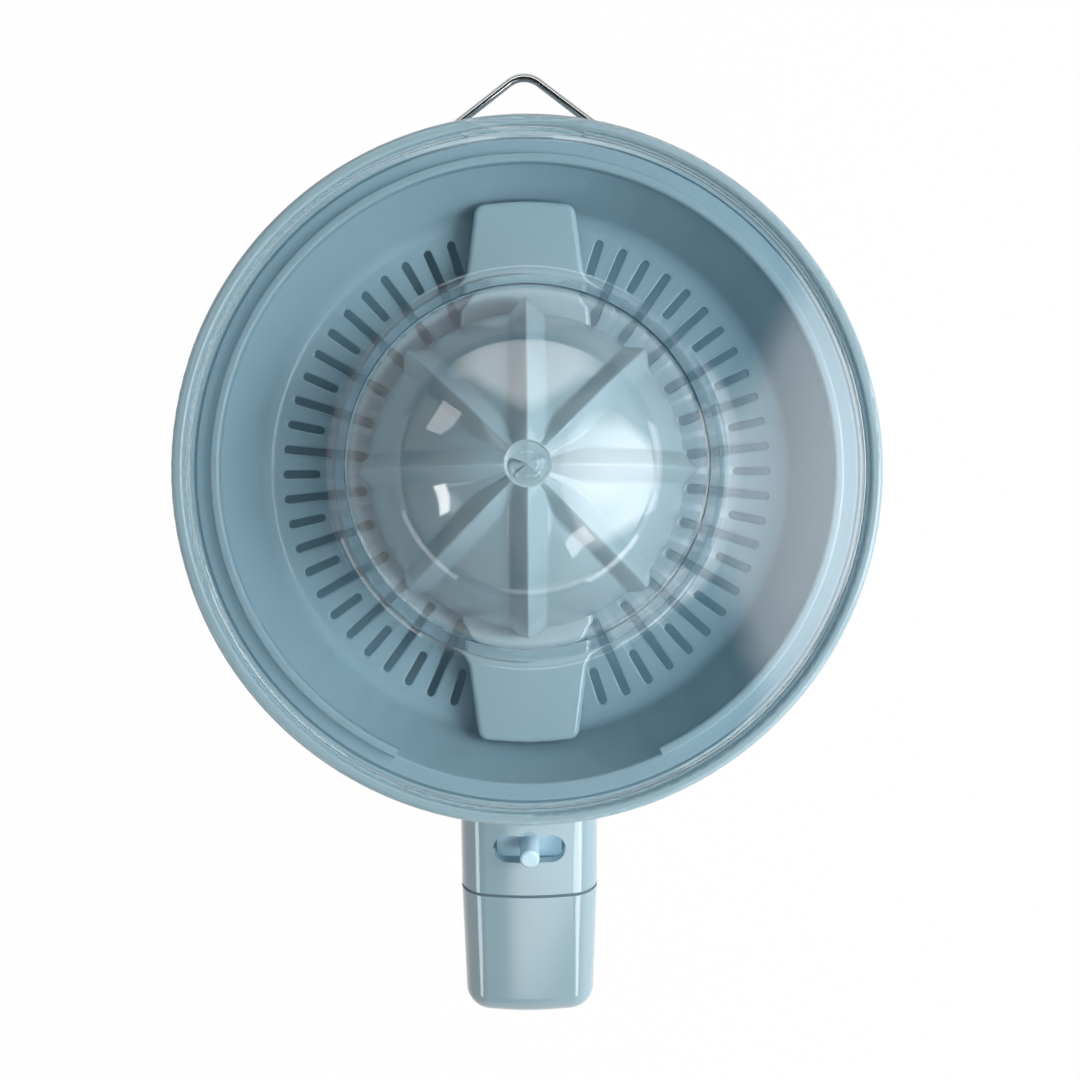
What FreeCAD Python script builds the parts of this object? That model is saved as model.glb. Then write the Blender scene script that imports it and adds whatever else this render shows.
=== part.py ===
import FreeCAD, Part
import math
import os
from types import SimpleNamespace

import Sketcher

# Citrus press juicer: an upright motor housing carries a lift-off bowl with a strainer,
# a turning reamer and a clear cover. Millimetres, +Z up, origin under the reamer on the table,
# spout towards -Y.

Vector = FreeCAD.Vector

# Driving dimensions
SIZES = {
    # Shared clearances
    "seat_fit": 0.3,
    "running_fit": 0.05,
    "wall": 2.5,
    # Feet, base plate and its screws
    "foot_height": 3.0,
    "foot_radius": 7.0,
    "foot_recess": 1.0,
    "foot_setback": 16.0,
    "base_thickness": 3.0,
    "screw_setback": 8.0,
    "screw_boss_radius": 5.5,
    "screw_boss_height": 20.0,
    "screw_radius": 1.5,
    "screw_length": 12.0,
    "screw_head_radius": 3.2,
    "screw_head_height": 1.6,
    # Motor housing
    "housing_bottom_radius": 64.0,
    "housing_waist_radius": 55.0,
    "housing_top_margin": 3.0,
    "waist_drop": 73.0,
    "waist_bend": 400.0,
    "housing_height": 158.0,
    "deck_thickness": 3.0,
    "tower_radius": 8.0,
    "tower_height": 26.0,
    "key_width": 8.0,
    "key_height": 2.6,
    # Cord gland low at the back
    "gland_height": 20.0,
    "gland_radius": 6.0,
    "gland_bore": 3.5,
    "gland_flange": 8.5,
    "gland_flange_thickness": 2.0,
    "gland_boss_radius": 10.0,
    "gland_overhang": 1.5,
    # Motor
    "can_radius": 28.0,
    "can_wall": 1.5,
    "can_drop": 82.0,
    "can_height": 36.0,
    "cap_thickness": 2.5,
    "rotor_shaft_radius": 3.0,
    "rotor_radius": 15.0,
    "rotor_height": 24.0,
    "coil_inner_radius": 17.0,
    "coil_height": 28.0,
    "bush_radius": 6.0,
    "bush_height": 5.0,
    # Gear train
    "gear_module": 1.0,
    "pinion_teeth": 14,
    "wheel_teeth": 35,
    "gear_gap": 2.5,
    "lower_gear_width": 7.0,
    "upper_gear_width": 8.0,
    "gear_backlash": 0.25,
    "gear_deck_radius": 50.0,
    "gear_deck_thickness": 3.0,
    "post_ring": 45.0,
    "post_radius": 4.5,
    "leg_ring": 24.0,
    "leg_radius": 3.5,
    "axle_radius": 3.0,
    "axle_boss_radius": 6.0,
    "clip_radius": 5.5,
    "clip_thickness": 1.2,
    "thrust_flange_radius": 10.5,
    "thrust_flange_height": 2.0,
    "sleeve_radius": 7.4,
    # Drive shaft, its bush, seal, spring and switch
    "shaft_radius": 4.0,
    "hex_flats": 7.0,
    "hex_fit": 0.12,
    "shaft_rise": 56.0,
    "drive_hex_length": 25.0,
    "collar_radius": 13.0,
    "collar_thickness": 2.5,
    "press_travel": 2.5,
    "shaft_bush_radius": 6.0,
    "shaft_bush_flange": 9.0,
    "shaft_bush_flange_height": 3.5,
    "seal_height": 2.4,
    "spring_radius": 6.3,
    "spring_wire_radius": 0.6,
    "spring_turns": 5,
    "switch_width": 6.4,
    "switch_length": 20.0,
    "switch_height": 7.0,
    "switch_reach": 9.6,
    "plunger_radius": 1.4,
    "plunger_length": 6.0,
    "plunger_offset": 1.8,
    # Juice bowl
    "rim_radius": 80.0,
    "bowl_rise": 42.0,
    "rim_width": 2.8,
    "rim_depth": 8.0,
    "cover_seat_depth": 3.0,
    "cover_seat_width": 2.2,
    "strainer_seat_depth": 5.0,
    "strainer_seat_width": 2.5,
    "rim_overhang": 4.2,
    "bowl_foot_radius": 63.0,
    "bowl_floor_height": 6.0,
    "bowl_floor_rise": 3.0,
    "chimney_radius": 10.5,
    "chimney_rise": 30.0,
    "bowl_foot_inset": 1.0,
    # Spout neck and its drip stop
    "spout_slope": 20.0,
    "spout_width": 32.5,
    "spout_depth": 24.0,
    "spout_crown": 2.5,
    "spout_crown_bend": 52.0,
    "spout_corner": 7.0,
    "spout_wall": 2.5,
    "seam_overhang": 16.2,
    "seam_rise": 3.5,
    "neck_root": 9.9,
    "channel_stop": 6.0,
    "slot_setback": 12.2,
    "slot_length": 17.0,
    "slot_width": 7.0,
    "web_setback": 13.7,
    "web_thickness": 2.0,
    "port_radius": 3.4,
    "slide_travel": 5.5,
    "pin_radius": 2.3,
    "pin_height": 11.5,
    "plate_thickness": 5.0,
    "plate_width": 15.4,
    "plate_length": 10.0,
    "blade_width": 11.0,
    "blade_thickness": 2.0,
    # Spout tip and seal
    "seal_thickness": 0.8,
    "tip_length": 33.8,
    "tip_draft": 1.5,
    "tip_round": 6.0,
    "spigot_length": 5.0,
    "spigot_wall": 1.6,
    "outlet_width": 18.0,
    "outlet_length": 14.0,
    "outlet_setback": 5.0,
    # Hanging wire and its ears
    "wire_radius": 1.0,
    "bail_setback": 8.2,
    "bail_drop": 12.0,
    "bail_half_width": 26.0,
    "bail_overhang": 11.8,
    "bail_apex_bend": 5.5,
    "bail_foot_bend": 2.5,
    "bail_pin_length": 4.2,
    "ear_thickness": 3.0,
    "ear_radius": 2.5,
    "ear_setback": 0.6,
    # Strainer
    "strainer_wall": 1.8,
    "basket_rise": 18.0,
    "basket_gap": 2.77,
    "mouth_setback": 9.2,
    "strainer_flange_thickness": 2.0,
    "lip_height": 2.6,
    "lip_width": 1.8,
    "lip_gap": 50.0,
    "slot_count": 30,
    "strainer_slot_width": 1.8,
    "slot_margin": 3.8,
    "long_slot_length": 19.6,
    "short_slot_length": 7.7,
    "collar_height": 6.0,
    "collar_wall": 2.0,
    # Sweeper
    "sweeper_thickness": 2.5,
    "sweeper_radius": 35.0,
    "wing_gap": 0.9,
    "wing_tip_width": 23.0,
    "wing_root_width": 30.0,
    "wing_corner": 2.5,
    "wing_root_overlap": 4.0,
    "scraper_thickness": 1.8,
    "scraper_gap": 0.8,
    "dog_inner": 20.0,
    "dog_length": 6.0,
    "dog_thickness": 3.0,
    "dog_height": 7.5,
    # Reamer
    "reamer_gap": 3.0,
    "reamer_radius": 36.0,
    "reamer_height": 44.5,
    "ridge_count": 8,
    "ridge_height": 3.2,
    "reamer_wall": 2.6,
    "hub_radius": 7.4,
    "hub_lift": 4.0,
    "web_rib_thickness": 2.4,
    "web_rib_lift": 0.5,
    # Dust cover
    "cover_wall": 1.9,
    "cover_skirt": 4.6,
    "cover_rise": 8.0,
    "crown_radius": 44.5,
    "crown_shoulder_radius": 42.3,
    "crown_wall_height": 13.0,
    "crown_top_radius": 27.5,
    "crown_slope_height": 10.0,
    "crown_peak_height": 5.5,
    "knob_radius": 5.2,
    "knob_height": 4.0,
    "tab_width": 25.0,
    "tab_thickness": 1.5,
}

GEAR_PRESSURE_ANGLE = math.radians(20.0)
GEAR_ADDENDUM = 0.85
GEAR_DEDENDUM = 1.2

doc = FreeCAD.newDocument("CitrusPress")
sheet = doc.addObject("Spreadsheet::Sheet", "Sizes")
for row, (alias, number) in enumerate(SIZES.items(), start=1):
    sheet.set(f"A{row}", alias)
    sheet.set(f"B{row}", str(number))
    sheet.setAlias(f"B{row}", alias)
doc.recompute()


class Size:
    """A number that also carries the spreadsheet expression it comes from."""

    def __init__(self, value, text):
        self.value = float(value)
        self.text = text

    def __add__(self, other):
        other = size(other)
        return Size(self.value + other.value, f"({self.text} + {other.text})")

    def __sub__(self, other):
        other = size(other)
        return Size(self.value - other.value, f"({self.text} - {other.text})")

    def __mul__(self, other):
        other = size(other)
        return Size(self.value * other.value, f"({self.text} * {other.text})")

    def __truediv__(self, other):
        other = size(other)
        return Size(self.value / other.value, f"({self.text} / {other.text})")

    def __neg__(self):
        return Size(-self.value, f"(0 - {self.text})")

    def __radd__(self, other):
        return size(other) + self

    def __rsub__(self, other):
        return size(other) - self

    def __rmul__(self, other):
        return size(other) * self

    def __rtruediv__(self, other):
        return size(other) / self


def size(number):
    """Turn a plain number into a Size and leave a Size as it is."""
    if isinstance(number, Size):
        return number
    return Size(number, f"{float(number):.6f}")


def sine(angle):
    """Sine of an angle in degrees."""
    angle = size(angle)
    return Size(math.sin(math.radians(angle.value)), f"sin({angle.text})")


def cosine(angle):
    """Cosine of an angle in degrees."""
    angle = size(angle)
    return Size(math.cos(math.radians(angle.value)), f"cos({angle.text})")


d = SimpleNamespace(**{name: Size(value, f"Sizes.{name}") for name, value in SIZES.items()})

# Places that follow the housing's height and the foot and rim of the bowl
d.foot_ring = d.housing_bottom_radius - d.foot_setback
d.screw_ring = d.housing_bottom_radius - d.screw_setback
d.gland_reach = d.housing_bottom_radius + d.gland_overhang
d.housing_top_radius = d.bowl_foot_radius + d.housing_top_margin
d.waist_height = d.housing_height - d.waist_drop
d.can_bottom = d.housing_height - d.can_drop
d.shaft_top = d.housing_height + d.shaft_rise
d.chimney_height = d.housing_height + d.chimney_rise
d.rim_top = d.housing_height + d.bowl_rise
d.bowl_wall_top = d.rim_radius - d.rim_overhang
d.bowl_inner_foot = d.bowl_foot_radius - d.bowl_foot_inset
d.seam_reach = d.rim_radius + d.seam_overhang
d.seam_height = d.housing_height + d.seam_rise
d.neck_length = d.seam_reach - d.bowl_foot_radius + d.neck_root
d.channel_length = d.neck_length - d.channel_stop
d.bail_axis_reach = d.rim_radius - d.bail_setback
d.bail_apex_reach = d.rim_radius + d.bail_overhang
d.bail_axis_height = d.rim_top - d.bail_drop
d.strainer_floor = d.housing_height + d.basket_rise
d.reamer_base = d.strainer_floor + d.collar_height + d.sweeper_thickness + d.reamer_gap
d.strainer_mouth_radius = d.rim_radius - d.mouth_setback

parts = []


# Helpers for bodies, sketches and features

def bind(feature, prop, length):
    """Tie one property of a feature to the sheet."""
    feature.setExpression(prop, size(length).text)


def new_body(label):
    """Start a sub-part."""
    body = doc.addObject("PartDesign::Body", label)
    body.Label = label
    parts.append(body)
    return body


def place(body, x=0.0, y=0.0, z=0.0):
    """Move a whole sub-part to a place tied to the sheet."""
    x, y, z = size(x), size(y), size(z)
    body.Placement = FreeCAD.Placement(Vector(x.value, y.value, z.value), FreeCAD.Rotation())
    bind(body, "Placement.Base.x", x)
    bind(body, "Placement.Base.y", y)
    bind(body, "Placement.Base.z", z)


def origin_plane(body, role):
    """One of the body's own origin planes or axes."""
    return next(item for item in body.Origin.OriginFeatures if item.Role == role)


def new_sketch(body, name, role="XY_Plane", x=0.0, y=0.0, z=0.0, tilt=0.0):
    """Attach a sketch to an origin plane, moved by x, y, z and tilted about its own x axis."""
    sketch = body.newObject("Sketcher::SketchObject", name)
    sketch.AttachmentSupport = [(origin_plane(body, role), "")]
    sketch.MapMode = "FlatFace"
    x, y, z, tilt = size(x), size(y), size(z), size(tilt)
    turn = FreeCAD.Rotation(Vector(1, 0, 0), tilt.value)
    sketch.AttachmentOffset = FreeCAD.Placement(Vector(x.value, y.value, z.value), turn)
    bind(sketch, "AttachmentOffset.Base.x", x)
    bind(sketch, "AttachmentOffset.Base.y", y)
    bind(sketch, "AttachmentOffset.Base.z", z)
    if tilt.value:
        bind(sketch, "AttachmentOffset.Rotation.Angle", tilt)
    return sketch


def fix_point(sketch, geometry, end, x, y):
    """Hold one point of a sketch at x, y from the sketch's origin."""
    for kind, length in (("DistanceX", x), ("DistanceY", y)):
        index = sketch.addConstraint(Sketcher.Constraint(kind, -1, 1, geometry, end, length.value))
        sketch.setExpression(f"Constraints[{index}]", length.text)


def fix_radius(sketch, geometry, radius):
    """Hold the radius of an arc or circle."""
    index = sketch.addConstraint(Sketcher.Constraint("Radius", geometry, radius.value))
    sketch.setExpression(f"Constraints[{index}]", radius.text)


def circle(sketch, radius, x=0.0, y=0.0):
    """Add a circle held by its centre and radius."""
    x, y, radius = size(x), size(y), size(radius)
    geometry = sketch.addGeometry(Part.Circle(Vector(x.value, y.value, 0), Vector(0, 0, 1), radius.value))
    fix_point(sketch, geometry, 3, x, y)
    fix_radius(sketch, geometry, radius)


def add_arc(sketch, start, middle, end):
    """Add an arc, drawn anticlockwise, and give its number and which of its ends is the start."""
    across = (middle - start).cross(end - middle)
    if across.z > 0:
        return sketch.addGeometry(Part.Arc(start, middle, end)), 1
    return sketch.addGeometry(Part.Arc(end, middle, start)), 2


def bow_middle(start, end, radius):
    """Middle of an arc from start to end that bulges to the left, or right if the radius is negative."""
    chord = end - start
    half = chord.Length / 2
    left = Vector(-chord.y, chord.x, 0).normalize()
    rise = abs(radius) - math.sqrt(radius * radius - half * half)
    return (start + end) / 2 + left * math.copysign(rise, radius)


def corner_tangents(before, corner, after, radius):
    """Points where a rounding of a corner meets its two sides."""
    back = (before - corner).normalize()
    ahead = (after - corner).normalize()
    half_angle = back.getAngle(ahead) / 2
    reach = radius / math.tan(half_angle)
    return corner + back * reach, corner + ahead * reach


def outline(sketch, points, bows=None, closed=True):
    """Draw an outline whose corners are tied to the sheet.

    A point is (x, y) or (x, y, rounding). bows gives, for the side after a point, the radius of an arc:
    positive bulges to the left of the drawn direction, negative to the right.
    """
    bows = bows or {}
    count = len(points)
    spots = [(size(p[0]), size(p[1])) for p in points]
    vectors = [Vector(x.value, y.value, 0) for x, y in spots]
    rounding = [size(p[2]) if len(p) > 2 else None for p in points]
    entries, exits = list(vectors), list(vectors)
    for i in range(count):
        if rounding[i]:
            before, after = vectors[i - 1], vectors[(i + 1) % count]
            entries[i], exits[i] = corner_tangents(before, vectors[i], after, rounding[i].value)
    sides = []
    for i in range(count if closed else count - 1):
        start, end = exits[i], entries[(i + 1) % count]
        if i in bows:
            radius = size(bows[i])
            geometry, first = add_arc(sketch, start, bow_middle(start, end, radius.value), end)
            sides.append((geometry, first, 3 - first))
            fix_radius(sketch, geometry, radius if radius.value > 0 else -radius)
        else:
            sides.append((sketch.addGeometry(Part.LineSegment(start, end)), 1, 2))
    for i in range(count):
        has_before = closed or i > 0
        has_after = closed or i < count - 1
        before = sides[i - 1] if has_before else None
        after = sides[i] if has_after else None
        x, y = spots[i]
        if rounding[i]:
            bisector = ((entries[i] + exits[i]) / 2 - vectors[i]).normalize()
            half_angle = (entries[i] - vectors[i]).getAngle(exits[i] - vectors[i]) / 2
            apex = rounding[i].value / math.sin(half_angle) - rounding[i].value
            geometry, first = add_arc(sketch, entries[i], vectors[i] + bisector * apex, exits[i])
            sketch.addConstraint(Sketcher.Constraint("Tangent", before[0], before[2], geometry, first))
            sketch.addConstraint(Sketcher.Constraint("Tangent", after[0], after[1], geometry, 3 - first))
            fix_radius(sketch, geometry, rounding[i])
            corner = sketch.addGeometry(Part.Point(vectors[i]), True)
            sketch.addConstraint(Sketcher.Constraint("PointOnObject", corner, 1, before[0]))
            sketch.addConstraint(Sketcher.Constraint("PointOnObject", corner, 1, after[0]))
            fix_point(sketch, corner, 1, x, y)
            continue
        if before and after:
            sketch.addConstraint(Sketcher.Constraint("Coincident", before[0], before[2], after[0], after[1]))
        if after:
            fix_point(sketch, after[0], after[1], x, y)
        else:
            fix_point(sketch, before[0], before[2], x, y)


def box_outline(sketch, x_low, x_high, y_low, y_high, rounding=None):
    """Draw a rectangle, with rounded corners where a rounding is given."""
    corners = [(x_low, y_low), (x_high, y_low), (x_high, y_high), (x_low, y_high)]
    outline(sketch, [(*c, rounding) if rounding else c for c in corners])


def hexagon(sketch, flats):
    """Draw a hexagon of a given width across its flats, on the sketch's origin."""
    corner = size(flats) / (2 * cosine(30))
    turns = [60 * i for i in range(6)]
    outline(sketch, [(corner * cosine(turn), corner * sine(turn)) for turn in turns])


def revolve(body, name, points, bows=None, cut=False, role="XZ_Plane", angle=None):
    """Turn an outline of (radius, height) points about the upright axis, adding or cutting."""
    sketch = new_sketch(body, f"{name}Profile", role)
    outline(sketch, points, bows)
    feature = body.newObject("PartDesign::Groove" if cut else "PartDesign::Revolution", name)
    feature.Profile = sketch
    feature.ReferenceAxis = (sketch, ["V_Axis"])
    feature.Angle = 360.0
    if angle is not None:
        feature.Midplane = True
        bind(feature, "Angle", angle)
    return feature


def extrude(body, name, sketch, length, cut=False, reverse=False, middle=False):
    """Pad or pocket a sketch by a length tied to the sheet."""
    feature = body.newObject("PartDesign::Pocket" if cut else "PartDesign::Pad", name)
    feature.Profile = sketch
    feature.Length = size(length).value
    bind(feature, "Length", length)
    feature.Reversed = reverse
    feature.Midplane = middle
    return feature


def polar(body, name, features, count, axis_role="Z_Axis"):
    """Repeat features evenly about an origin axis."""
    pattern = body.newObject("PartDesign::PolarPattern", name)
    pattern.Originals = features
    pattern.Axis = (origin_plane(body, axis_role), [""])
    pattern.Angle = 360.0
    pattern.Occurrences = int(size(count).value)
    bind(pattern, "Occurrences", count)
    body.Tip = pattern
    return pattern


def mirror(body, name, features, role="YZ_Plane"):
    """Repeat features on the other side of an origin plane."""
    copy = body.newObject("PartDesign::Mirrored", name)
    copy.Originals = features
    copy.MirrorPlane = (origin_plane(body, role), [""])
    body.Tip = copy
    return copy


def round_face(body, name, radius, pick):
    """Round every edge of the face that stands furthest along a direction."""
    doc.recompute()
    base = body.Tip
    faces = base.Shape.Faces
    index = max(range(len(faces)), key=lambda i: faces[i].CenterOfMass.dot(pick))
    fillet = body.newObject("PartDesign::Fillet", name)
    fillet.Base = (base, [f"Face{index + 1}"])
    fillet.Radius = size(radius).value
    bind(fillet, "Radius", radius)
    return fillet


def ring_part(label, inner, outer, low, high, rounding=None):
    """A plain ring or, with no inner radius, a disc."""
    body = new_body(label)
    top = (outer, high, rounding) if rounding else (outer, high)
    revolve(body, "Turned", [(inner, low), (outer, low), top, (inner, high)])
    return body


# Heights and radii that several pieces share

deck_under = d.housing_height - d.deck_thickness
base_top = d.foot_height + d.base_thickness
screw_boss_top = base_top + d.screw_boss_height
tower_top = d.housing_height + d.tower_height
can_top = d.can_bottom + d.can_height
gear_low = can_top + d.gear_gap
gear_low_top = gear_low + d.lower_gear_width
gear_deck_bottom = gear_low_top + d.gear_gap
gear_deck_top = gear_deck_bottom + d.gear_deck_thickness
gear_high = gear_deck_top + d.thrust_flange_height
gear_high_top = gear_high + d.upper_gear_width
gear_distance = d.gear_module * (d.pinion_teeth + d.wheel_teeth) / 2
collar_top = deck_under - d.shaft_bush_flange_height
collar_bottom = collar_top - d.collar_thickness
axle_boss_bottom = gear_high_top + d.gear_gap
switch_top = collar_bottom - d.press_travel - d.seat_fit
switch_bottom = switch_top - d.switch_height
switch_outer = d.switch_reach + d.switch_length
switch_boss_reach = switch_outer - d.screw_boss_radius
plunger_reach = d.switch_reach + d.plunger_offset
shaft_bottom = gear_deck_top - 1.0
rotor_shaft_top = gear_low_top + 1.0
bush_bore = d.rotor_shaft_radius + d.running_fit

rim_inner = d.rim_radius - d.rim_width
cover_seat = d.rim_top - d.cover_seat_depth
strainer_seat = d.rim_top - d.strainer_seat_depth
cover_seat_inner = rim_inner - d.cover_seat_width
strainer_seat_inner = cover_seat_inner - d.strainer_seat_width
rim_under = d.rim_top - d.rim_depth
bowl_floor = d.housing_height + d.bowl_floor_height
bowl_under = bowl_floor - d.wall
chimney_bore = d.tower_radius + 0.5
skirt_inner = d.bowl_foot_radius - d.wall

collar_inner = d.chimney_radius + 0.5
collar_outer = collar_inner + d.collar_wall
sweeper_low = d.strainer_floor + d.collar_height
sweeper_top = sweeper_low + d.sweeper_thickness
flange_top = strainer_seat + d.strainer_flange_thickness

# The basket keeps clear of the sloping bowl wall, and the wings of the sloping basket wall
basket_low = d.strainer_floor - d.strainer_wall
bowl_wall_rise = strainer_seat - 1.0 - bowl_floor
bowl_wall_lean = (strainer_seat_inner - d.bowl_inner_foot) / bowl_wall_rise
bowl_wall_there = d.bowl_inner_foot + bowl_wall_lean * (basket_low - bowl_floor)
d.strainer_foot_radius = bowl_wall_there - d.strainer_wall - d.basket_gap
basket_lean = (d.strainer_mouth_radius - d.strainer_foot_radius) / (flange_top - d.strainer_floor)
d.wing_reach = d.strainer_foot_radius + basket_lean * d.collar_height - d.wing_gap
d.strainer_slot_outer = d.strainer_foot_radius - d.slot_margin
d.long_slot_inner = d.strainer_slot_outer - d.long_slot_length
d.short_slot_inner = d.strainer_slot_outer - d.short_slot_length

channel_width = d.spout_width - 2 * d.spout_wall
channel_depth = d.spout_depth - 2 * d.spout_wall
spigot_width = channel_width - 2 * d.seat_fit
spigot_depth = channel_depth - 2 * d.seat_fit
tip_channel_width = spigot_width - 2 * d.spigot_wall
tip_channel_depth = spigot_depth - 2 * d.spigot_wall


# Spout frames: along the sloped axis, measured out from the seam

def spout_section(body, name, out):
    """Sketch square to the spout axis, a distance out from the seam; its y runs up."""
    reach = d.seam_reach + out * cosine(d.spout_slope)
    height = d.seam_height - out * sine(d.spout_slope)
    return new_sketch(body, name, "XZ_Plane", y=height, z=reach, tilt=d.spout_slope)


def spout_floor(body, name, lift):
    """Sketch parallel to the spout axis, lifted from it; its y runs back to the bowl from the seam."""
    reach = d.seam_reach + lift * sine(d.spout_slope)
    height = d.seam_height + lift * cosine(d.spout_slope)
    return new_sketch(body, name, "XY_Plane", y=-reach, z=height, tilt=d.spout_slope)


def spout_outline(sketch, width, depth, corner):
    """Rounded section of the spout with a gently crowned top."""
    half = width / 2
    low = -depth / 2
    shoulder = depth / 2 - d.spout_crown
    crown_bend = d.spout_crown_bend * width / d.spout_width
    outline(sketch, [
        (-half, low, corner),
        (half, low, corner),
        (half, shoulder, corner),
        (0, depth / 2, crown_bend),
        (-half, shoulder, corner),
    ])


# Feet, base plate, screws and gland

def make_feet():
    for i in range(4):
        body = new_body(f"foot_{i + 1}")
        revolve(body, "Turned", [
            (0, 0),
            (d.foot_radius - 1.0, 0, 0.5),
            (d.foot_radius, d.foot_height + d.foot_recess),
            (0, d.foot_height + d.foot_recess),
        ])
        turn = 45 + 90 * i
        place(body, d.foot_ring * cosine(turn), d.foot_ring * sine(turn))


def make_base_plate():
    body = new_body("base_plate")
    inner_edge = d.housing_bottom_radius - d.wall - 2 * d.seat_fit
    revolve(body, "Disc", [
        (0, d.foot_height),
        (inner_edge, d.foot_height),
        (inner_edge, base_top),
        (0, base_top),
    ])
    recess = new_sketch(body, "FootRecess", z=d.foot_height)
    circle(recess, d.foot_radius + d.running_fit, d.foot_ring * cosine(45), d.foot_ring * sine(45))
    cut = extrude(body, "FootSeat", recess, d.foot_recess, cut=True, reverse=True)
    polar(body, "FootSeats", [cut], 4)
    shank = new_sketch(body, "ScrewHole", z=d.foot_height)
    circle(shank, d.screw_radius + d.seat_fit, 0, -d.screw_ring)
    hole = extrude(body, "ScrewBore", shank, d.base_thickness, cut=True, reverse=True)
    polar(body, "ScrewBores", [hole], 3)
    head = new_sketch(body, "ScrewHead", z=d.foot_height)
    circle(head, d.screw_head_radius + d.seat_fit, 0, -d.screw_ring)
    sink = extrude(body, "ScrewSink", head, d.screw_head_height, cut=True, reverse=True)
    polar(body, "ScrewSinks", [sink], 3)


def make_screw(label, x, y, head_bottom):
    """A pan-head screw that stands head down."""
    body = new_body(label)
    shank = d.screw_radius - d.running_fit
    shank_top = d.screw_head_height + d.screw_length
    revolve(body, "Turned", [
        (0, 0),
        (d.screw_head_radius, 0, 0.6),
        (d.screw_head_radius, d.screw_head_height),
        (shank, d.screw_head_height),
        (shank, shank_top, 0.5),
        (0, shank_top),
    ])
    place(body, x, y, head_bottom)


def make_screws():
    for i in range(3):
        turn = 30 + 120 * i
        x, y = d.screw_ring * cosine(turn), d.screw_ring * sine(turn)
        make_screw(f"base_screw_{i + 1}", x, y, d.foot_height)
    for i in range(3):
        turn = 30 + 120 * i
        x, y = d.post_ring * cosine(turn), d.post_ring * sine(turn)
        make_screw(f"deck_screw_{i + 1}", x, y, gear_deck_bottom - d.screw_head_height)


def make_gland():
    body = new_body("cord_gland")
    inner_end = d.gland_reach - 3 * d.wall
    shank = new_sketch(body, "Shank", "XZ_Plane", y=d.gland_height, z=-d.gland_reach)
    circle(shank, d.gland_radius - d.running_fit)
    circle(shank, d.gland_bore)
    extrude(body, "Sleeve", shank, d.gland_reach - inner_end)
    flange = new_sketch(body, "Flange", "XZ_Plane", y=d.gland_height, z=-d.gland_reach)
    circle(flange, d.gland_flange)
    circle(flange, d.gland_bore)
    extrude(body, "Collar", flange, d.gland_flange_thickness, reverse=True)


# Motor housing

def make_housing():
    body = new_body("motor_housing")
    waist_inner = d.housing_waist_radius - d.wall
    bush_seat = d.shaft_bush_radius + d.running_fit
    seal_seat = tower_top - d.seal_height
    revolve(body, "Shell", [
        (d.housing_bottom_radius - d.wall, d.foot_height),
        (d.housing_bottom_radius, d.foot_height),
        (d.housing_waist_radius, d.waist_height, d.waist_bend),
        (d.housing_top_radius, d.housing_height, 1.5),
        (d.tower_radius, d.housing_height, 1.5),
        (d.tower_radius, tower_top, 1.0),
        (bush_seat, tower_top),
        (bush_seat, deck_under),
        (d.housing_top_radius - d.wall, deck_under),
        (waist_inner, d.waist_height, d.waist_bend + d.wall),
    ])
    floor = new_sketch(body, "ScrewBoss", z=base_top)
    circle(floor, d.screw_boss_radius, 0, -d.screw_ring)
    boss = extrude(body, "BaseBoss", floor, d.screw_boss_height)
    polar(body, "BaseBosses", [boss], 3)
    boss_hole = new_sketch(body, "ScrewBossHole", z=base_top)
    circle(boss_hole, d.screw_radius, 0, -d.screw_ring)
    bore = extrude(body, "BaseBore", boss_hole, d.screw_length, cut=True, reverse=True)
    polar(body, "BaseBores", [bore], 3)
    post = new_sketch(body, "Post", z=deck_under)
    circle(post, d.post_radius, 0, -d.post_ring)
    column = extrude(body, "DeckPost", post, deck_under - gear_deck_top, reverse=True)
    polar(body, "DeckPosts", [column], 3)
    post_hole = new_sketch(body, "PostHole", z=gear_deck_top)
    circle(post_hole, d.screw_radius, 0, -d.post_ring)
    post_bore = extrude(body, "PostBore", post_hole, d.screw_length, cut=True, reverse=True)
    polar(body, "PostBores", [post_bore], 3)
    axle = new_sketch(body, "AxleBoss", z=deck_under)
    circle(axle, d.axle_boss_radius, gear_distance, 0)
    circle(axle, d.axle_radius, gear_distance, 0)
    extrude(body, "AxleSocket", axle, deck_under - axle_boss_bottom, reverse=True)
    switch = new_sketch(body, "SwitchBoss", z=deck_under)
    circle(switch, d.screw_boss_radius - 2.0, -switch_boss_reach, 0)
    extrude(body, "SwitchPost", switch, deck_under - switch_top, reverse=True)
    key = new_sketch(body, "BowlKey", z=d.housing_height)
    half_key = d.key_width / 2
    box_outline(key, -half_key, half_key, skirt_inner, d.bowl_foot_radius - d.seat_fit)
    extrude(body, "Key", key, d.key_height)
    gland = new_sketch(body, "GlandBoss", "XZ_Plane", y=d.gland_height, z=-d.gland_reach)
    circle(gland, d.gland_boss_radius)
    extrude(body, "GlandSeat", gland, 2 * d.wall)
    gland_hole = new_sketch(body, "GlandHole", "XZ_Plane", y=d.gland_height, z=-d.gland_reach)
    circle(gland_hole, d.gland_radius)
    extrude(body, "GlandBore", gland_hole, 4 * d.wall, cut=True, reverse=True)


# Motor and gear train

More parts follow.
